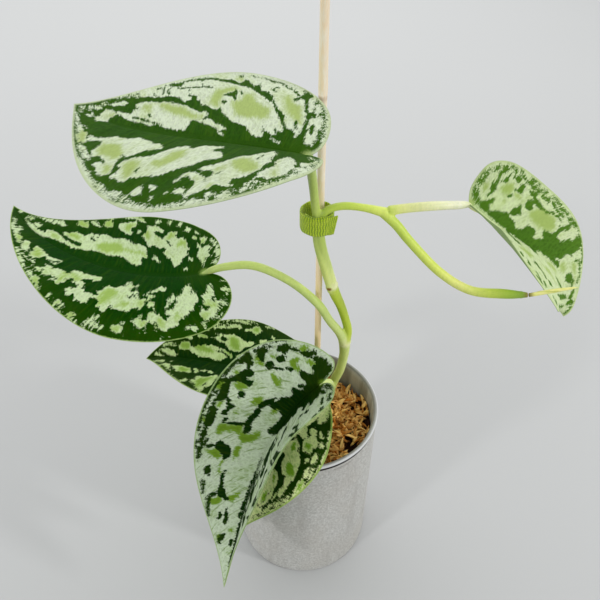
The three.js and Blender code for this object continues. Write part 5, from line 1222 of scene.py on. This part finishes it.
def make_tie():
    """A strap wound on itself a little more than once, ribbed, with a free end."""
    spots, outward, slant = strap_path()
    run = np.arange(len(spots))[:, None] * STRAP_STEP
    edge = np.linspace(0, 1, STRAP_ROWS)
    level = np.concatenate([edge, edge[::-1]])[None]
    face = np.repeat([1.0, -1.0], STRAP_ROWS)[None]
    thick = TIE_THICKNESS / 2 * (1 - STRAP_EDGE * (2 * level - 1) ** 8)
    phase = np.random.default_rng(5).uniform(-0.5, 0.5, (len(spots), 1))
    waver = 0.12 * np.sin(level * 17 + 2 * pi * run / 7)
    rib = 0.5 + 0.5 * np.sin(2 * pi * (run / STRAP_RIB + waver))
    loops = 0.5 + 0.5 * np.sin(2 * pi * level * STRAP_LOOPS + 3 * np.sin(run * 2.3) + phase)
    relief = STRAP_RIBS_PROUD * rib * (0.55 + 0.45 * loops)
    flare = 0.35 * np.clip(level - 0.8, 0, 1) + 0.25 * np.clip(0.15 - level, 0, 1)
    depth = face * (thick + relief * 0.8) + flare
    height = np.broadcast_to(TIE_BOTTOM + level * TIE_HEIGHT + 0.12 * np.sin(run * 1.1), depth.shape)
    back = slant[:, None] * (1 - level)
    backward = np.stack([outward[:, 1], -outward[:, 0]], -1)
    xy = spots[:, None] + outward[:, None] * depth[..., None] + backward[:, None] * back[..., None]
    points = np.concatenate([xy, height[..., None]], -1).reshape(-1, 3)
    faces = ring_faces(len(spots), 2 * STRAP_ROWS) + end_faces(len(spots), 2 * STRAP_ROWS)
    make_piece("tie_strap", points, [face[::-1] for face in faces], tie_material(), "tie", {
        "rib": (rib * (0.4 + 0.6 * loops)).ravel(),
    }, crease=180)


make_tie()

# ---------------------------------------------------------------- stake

STAKE_RINGS, STAKE_SIDES = 180, 28
STAKE_UNEVEN, STAKE_END = 0.02, 0.86  # how far it strays from round, the radius's share at its ends
KNOT_NICK, KNOT_NICK_WIDTH = 0.05, 1.2
KNOT_SWELL, KNOT_SWELL_WIDTH, KNOT_SWELL_UP = 0.1, 2.2, 3.5  # the last is how far above the nick


def stake_material():
    m = Material("stake")
    place = m.place()
    level = m.height(place)
    grain = m.noise(m.scaled(place, (1, 1, 0.02)), 2400, 3, 0.6)
    broad = m.noise(m.scaled(place, (1, 1, 0.06)), 500, 2)
    patch = m.noise(place, 60, 2)
    base = m.mix(m.step(grain, 0.35, 0.7), linear(255, 244, 222), linear(255, 232, 196))
    base = m.mix(m.step(broad, 0.4, 0.75, 0, 0.3), base, linear(252, 222, 182))
    base = m.mix(m.step(level, 0.29, 0.15, 0, 0.75), base, linear(252, 216, 152))
    base = m.mix(m.step(patch, 0.45, 0.7, 0, 0.15), base, linear(222, 184, 124))
    from_knot = m.math("ABSOLUTE", m.math("SUBTRACT", level, STAKE_KNOT * MM))
    base = m.mix(m.step(from_knot, 0.0016, 0.0002, 0, 0.35), base, linear(176, 134, 84))
    m.set(base_color=base, roughness=m.step(grain, 0.3, 0.7, 0.3, 0.5), specular_ior_level=0.9)
    m.bump(grain, 0.00005, 0.5)
    return m.result


def make_stake():
    """A bamboo stick with faint facets, one knot and slightly rounded ends."""
    line = np.linspace(np.array(STAKE_FOOT, float), STAKE_TOP, STAKE_RINGS)
    height = line[:, 2]
    above = height - STAKE_KNOT
    swell = KNOT_SWELL * bell(above - KNOT_SWELL_UP, KNOT_SWELL_WIDTH)
    nick = KNOT_NICK * bell(above, KNOT_NICK_WIDTH)
    radius = STAKE_RADIUS - 0.03 + swell - nick + STAKE_UNEVEN * np.sin(height / 11)
    radius[[0, -1]] *= STAKE_END
    facet = STAKE_UNEVEN * np.cos(circle(STAKE_SIDES) * 5 + 1)
    points, faces = tube(line, STAKE_SIDES, radius[:, None] + facet[None])
    make_piece("stake_cane", points, faces, stake_material(), "stake", crease=60)


make_stake()

# ---------------------------------------------------------------- moss

CLUMPS, CLUMP_SIZE, CLUMP_RISE = 46, 6.5, 3.2
BED_RINGS, BED_SIDES = 40, 110
BED_DEPTH, BED_RIPPLE = 2.2, 0.9  # the bed under the strands, below the clumps, and its ripples
TUFTS, STRANDS_IN_TUFT = 460, (3, 7)
TUFT_CLEAR, TUFT_CROWD = 1.2, 0.42  # clear of the wall, and under 0.5 if they crowd towards it
TUFT_SINK, TUFT_FAN = 1.6, 0.75  # how deep a tuft may stand, how widely its strands fan out
STRAND_RISE, STRAND_BEND, STRAND_DROOP = (-0.05, 0.75), 0.5, (0.2, 1.1)  # radians up, sideways, down
STRAND_LENGTHS, STRAND_RADII = (3.6, 8.2), (0.45, 0.9)
STRAND_SIDES, STRAND_FLAT = 5, 0.28
STRAND_SIZES = np.array([0.45, 0.95, 1.0, 0.95, 0.8, 0.5, 0.12])  # radius along a strand, in shares
STRAND_TOP = POT_HEIGHT - 4  # no strand stands higher


def clump_height():
    """The height of the moss as a function of x and y, in the same soft clumps as the solid."""
    state = 7
    draws = []
    for _ in range(CLUMPS * 3):
        state = state * 16807 % 2147483647
        draws.append(state / 2147483647)
    reach = POT_RADIUS - POT_WALL
    clumps = []
    for turn, share, size in zip(draws[::3], draws[1::3], draws[2::3]):
        far = reach * share**0.5
        spot = far * cos(2 * pi * turn), far * sin(2 * pi * turn)
        clumps.append((*spot, CLUMP_SIZE * (0.6 + 0.7 * size)))

    def height(x, y):
        rises = [np.exp(-((x - cx) ** 2 + (y - cy) ** 2) / size**2) for cx, cy, size in clumps]
        return MOSS_LEVEL + CLUMP_RISE * (np.max(rises, axis=0) - 0.5)

    return height


def moss_ground(height, reach):
    """The rippled ground under the strands, with sides that go down to the pot's floor."""
    out = np.linspace(0.02, 1, BED_RINGS)[:, None] * reach
    angle = circle(BED_SIDES)[None]
    x, y = out * np.cos(angle), out * np.sin(angle)
    ripple = np.sin(x * 1.9 + 2 * np.sin(y * 1.3)) * np.sin(y * 1.7 + 1.5 * np.sin(x * 1.1))
    ground = np.stack([x, y, height(x, y) - BED_DEPTH + BED_RIPPLE * ripple], -1).reshape(-1, 3)
    skirt = ground[-BED_SIDES:] * (1, 1, 0) + (0, 0, POT_FLOOR + 0.3)
    faces = ring_faces(BED_RINGS + 1, BED_SIDES) + end_faces(BED_RINGS + 1, BED_SIDES)
    return np.concatenate([ground, skirt]), faces


def moss_strands(height, reach):
    """Curled strands in tufts: (points, faces, tint, lift above the tuft's foot) of each."""
    random = np.random.default_rng(11)
    count = len(STRAND_SIZES)
    t = np.linspace(0, 1, count)
    strands = []
    for _ in range(TUFTS):
        turn, far = random.uniform(0, 2 * pi), (reach - TUFT_CLEAR) * random.uniform(0, 1) ** TUFT_CROWD
        foot_x, foot_y = far * cos(turn), far * sin(turn)
        foot_z = float(height(np.array(foot_x), np.array(foot_y))) - random.uniform(0, TUFT_SINK)
        lean = random.uniform(0, 2 * pi)
        for _ in range(random.integers(*STRANDS_IN_TUFT)):
            heading = lean + random.normal(0, TUFT_FAN)
            rise = random.uniform(*STRAND_RISE)
            step = random.uniform(*STRAND_LENGTHS) / count
            thick = random.uniform(*STRAND_RADII)
            bend, droop = random.normal(0, STRAND_BEND), random.uniform(*STRAND_DROOP)
            direction = heading + bend * t
            x = foot_x + np.cumsum(np.cos(direction)) * step * cos(rise)
            y = foot_y + np.cumsum(np.sin(direction)) * step * cos(rise)
            z = foot_z + np.cumsum(np.sin(rise * 1.3 - droop * t)) * step + 0.5
            inward = np.minimum(1, (reach - thick) / np.maximum(np.hypot(x, y), 1e-6))
            if max(z) > STRAND_TOP:
                continue
            flat = 1 + STRAND_FLAT * np.cos(2 * circle(STRAND_SIDES) + random.uniform(0, 6))
            size = thick * STRAND_SIZES[:, None] * flat[None]
            points, faces = tube(np.stack([x * inward, y * inward, z], -1), STRAND_SIDES, size)
            tint = np.full(len(points), random.uniform(0.15, 1))
            lift = np.repeat(np.clip((z - foot_z + 1.4) / 3.0, 0, 1), STRAND_SIDES)
            strands.append((points, faces, tint, lift))
    return strands


def moss_material():
    m = Material("moss")
    tint = m.data("tint")
    mottle = m.noise(m.place(), 1500, 3, 0.6)
    strand = m.step(m.add(tint, m.times(mottle, 0.5)), 0.3, 1.3)
    base = m.mix(strand, linear(178, 102, 16), linear(255, 212, 128))
    # painted shade: the strands darken towards their feet, deep in the moss
    base = m.mix(m.step(m.data("lift"), 0.75, 0.15, 0, 0.92), base, linear(84, 38, 2))
    # painted shade: the ground under the strands is painted near black
    base = m.mix(m.step(tint, 0.1, 0.02), base, linear(40, 18, 2))
    m.set(base_color=base, roughness=m.step(mottle, 0.3, 0.7, 0.7, 0.95), specular_ior_level=0.15)
    m.bump(m.noise(m.place(), 2600, 2), 0.0002, 0.7)
    return m.result


def make_moss():
    """Dried sphagnum: some two thousand strands over a ground painted near black as shade, with the strands'
    feet painted dark as shade too.
    """
    height = clump_height()
    reach = POT_RADIUS - POT_WALL - 0.3
    ground, ground_faces = moss_ground(height, reach)
    parts = [(ground, ground_faces, np.zeros(len(ground)), np.zeros(len(ground)))]
    parts += moss_strands(height, reach)
    points, faces = joined([part[:2] for part in parts])
    make_piece("moss_bed", points, faces, moss_material(), "moss", {
        "tint": np.concatenate([part[2] for part in parts]),
        "lift": np.concatenate([part[3] for part in parts]),
    }, crease=80)


make_moss()

# ---------------------------------------------------------------- pot

POT_SIDES = 200
LIP_BASE = POT_HEIGHT - 2 * POT_RIM_ROUND - 0.4
LOW_GROOVE = LIP_BASE - POT_RIM_BAND
GROOVES = ((LOW_GROOVE, 0.22, 0.35), (LIP_BASE, POT_GROOVE, 0.5))  # level, depth, half width
FOOT_RECESS = [(0.4, 0.35), (26, 0.35), (30, 0)]  # under the foot, as (radius, level)
WALL_LEVELS = 44
INSIDE_LEVELS = (LIP_BASE, 108, 104, 98, 92, 84)  # the last lies under the moss
STAIN_AND_SHADE_ANGLE, STAIN_AND_SHADE_SPREAD = 280, 48  # where the painted shade and the dirt in the crease under the lip are darkest, and how far round


def arc(centre, radius, degrees):
    """Points of an arc in the pot's section, as (radius, level)."""
    return [(centre[0] + radius * cos(radians(a)), centre[1] + radius * sin(radians(a))) for a in degrees]


def pot_profile():
    """The pot's section from the middle of its foot up the outside, over the lip and down inside."""
    inner = POT_RADIUS - POT_WALL
    profile = [*FOOT_RECESS, (POT_RADIUS - POT_FOOT_ROUND, 0)]
    profile += arc((POT_RADIUS - POT_FOOT_ROUND, POT_FOOT_ROUND), POT_FOOT_ROUND, range(-75, 1, 15))
    profile += [(POT_RADIUS, z) for z in np.linspace(4, LOW_GROOVE - 0.5, WALL_LEVELS)]
    low_groove, lip_groove = [
        [(POT_RADIUS - deep * (1 - u * u), level + u * wide) for u in (-1, -0.6, -0.3, 0, 0.3, 0.6, 1)]
        for level, deep, wide in GROOVES]
    band = [(POT_RADIUS, z) for z in (LOW_GROOVE + 0.8, LIP_BASE - 1.2, LIP_BASE - 0.7)]
    profile += low_groove + band + lip_groove
    profile += arc((POT_RADIUS - 0.6, POT_HEIGHT - POT_RIM_ROUND), POT_RIM_ROUND, range(-60, 161, 20))
    profile += [(inner, z) for z in INSIDE_LEVELS] + [(inner - 1, INSIDE_LEVELS[-1] - 1)]
    return np.array(profile)


def pot_material():
    m = Material("pot")
    place = m.place()
    cloud = m.noise(place, 38, 3)
    sand = m.noise(place, 900, 3, 0.7)
    grit = m.noise(place, 2100, 2)
    streak = m.noise(m.scaled(place, (1, 1, 0.16)), 160, 3)
    specks = m.times(m.noise(place, 300, 2), 0.45)
    # patches that darken the low groove
    groove_patches = m.step(m.noise(place, 90, 2), 0.42, 0.62, 0, 0.55)
    dull_lip = m.mix(m.step(cloud, 0.4, 0.65), linear(150, 150, 142), linear(132, 131, 124))
    inner_wall = m.mix(m.step(streak, 0.35, 0.7), linear(192, 190, 180), linear(150, 147, 136))
    base = m.mix(m.step(sand, 0.35, 0.68), linear(178, 177, 172), linear(212, 212, 208))
    base = m.mix(m.step(cloud, 0.35, 0.7, 0, 0.3), base, linear(186, 180, 170))
    base = m.mix(m.step(grit, 0.6, 0.7, 0, 0.6), base, linear(128, 124, 118))
    base = m.mix(m.step(streak, 0.5, 0.72, 0, 0.3), base, linear(158, 154, 148))
    base = m.mix(m.data("lip"), base, dull_lip)
    # painted highlight on the outer round of the rolled lip
    base = m.mix(m.data("painted_rim_highlight"), base, linear(222, 223, 224))
    # painted shade with dirt: a near black line in the crease under the lip, with dirt specks
    base = m.mix(m.step(m.add(m.data("crease"), specks), 0.5, 0.72), base, linear(24, 19, 16))
    # darker in patches along the low groove
    base = m.mix(m.times(m.data("low"), groove_patches), base, linear(96, 90, 84))
    base = m.mix(m.data("inside"), base, inner_wall)
    m.set(base_color=base,
          roughness=m.add(m.step(m.data("lip"), 0.2, 0.9, 0.78, 0.32), m.times(sand, 0.1)))
    m.bump(m.add(sand, m.times(grit, 0.6)), 0.00022, 0.55)
    return m.result


def make_pot():
    """The shell with its grooves and rolled lip, a little uneven round."""
    profile = pot_profile()
    r, z = profile[:, :1], profile[:, 1:]
    angle = circle(POT_SIDES)[None]
    wave = 0.05 * np.sin(3 * angle + 0.06 * z) + 0.03 * np.sin(7 * angle - 0.11 * z)
    radius = np.where(z > 3, r + wave, r)
    level = np.broadcast_to(z, radius.shape)
    points = np.stack([radius * np.cos(angle), radius * np.sin(angle), level], -1).reshape(-1, 3)
    faces = ring_faces(len(profile), POT_SIDES) + end_faces(len(profile), POT_SIDES)[:1]

    inside = (np.arange(len(profile))[:, None] >= len(profile) - len(INSIDE_LEVELS) - 1).astype(float)
    lip = np.clip((z - LIP_BASE) / 0.6, 0, 1) * (r > POT_RADIUS - POT_WALL + 0.05)
    # painted highlight: the outer round of the rolled lip
    painted_rim_highlight = lip * np.clip((r - POT_RADIUS + 0.5) / 0.7, 0, 1)
    # painted shade with dirt in the crease under the lip, darker round one side
    stain_and_shade = 0.3 + 0.7 * bell(angle - radians(STAIN_AND_SHADE_ANGLE), radians(STAIN_AND_SHADE_SPREAD), 4)
    crease = bell(z - LIP_BASE + 0.2, 0.85, 4) * (1 - inside) * stain_and_shade
    low = bell(z - LOW_GROOVE, 0.4) * (1 - inside)
    fields = {"lip": lip, "crease": crease, "low": low, "inside": inside, "painted_rim_highlight": painted_rim_highlight}
    make_piece("pot_body", points, faces, pot_material(), "pot", {
        key: np.broadcast_to(field, radius.shape).ravel() for key, field in fields.items()
    }, crease=60)


make_pot()

# ---------------------------------------------------------------- floor and light

FLOOR_WIDTH = 12
# Each light: place, where it points, width, power.
LIGHTS = {
    "left_box": ((-0.68, -0.6, 0.6), (0, 0, 0.1), 0.09, 2.0),
    "right_box": ((0.82, -0.36, 0.6), (0, 0, 0.1), 0.09, 2.7),
    "back_fill": ((-0.3, 1.5, 0.7), (-0.3, 1.49, 0), 2.6, 18),
}
ROOM_COLOUR, ROOM_STRENGTH = (0.985, 1, 1, 1), 0.63

bpy.ops.mesh.primitive_plane_add(size=FLOOR_WIDTH)
floor = bpy.context.object
floor.name = "floor"
m = Material("floor")
m.set(base_color=m.mix(m.noise(m.place(), 1.5), linear(191, 192, 192), linear(194, 195, 195)),
      roughness=0.95, specular_ior_level=0.1)
floor.data.materials.append(m.result)

for name, (spot, aim, size, power) in LIGHTS.items():
    light = bpy.data.lights.new(name, "AREA")
    light.size, light.energy = size, power
    lamp = bpy.data.objects.new(name, light)
    lamp.location = spot
    lamp.rotation_mode = "QUATERNION"
    lamp.rotation_quaternion = (Vector(aim) - Vector(spot)).to_track_quat("-Z", "Y")
    bpy.context.scene.collection.objects.link(lamp)

world = bpy.data.worlds.new("room")
world.use_nodes = True
background = world.node_tree.nodes["Background"]
background.inputs["Color"].default_value = ROOM_COLOUR
background.inputs["Strength"].default_value = ROOM_STRENGTH
bpy.context.scene.world = world
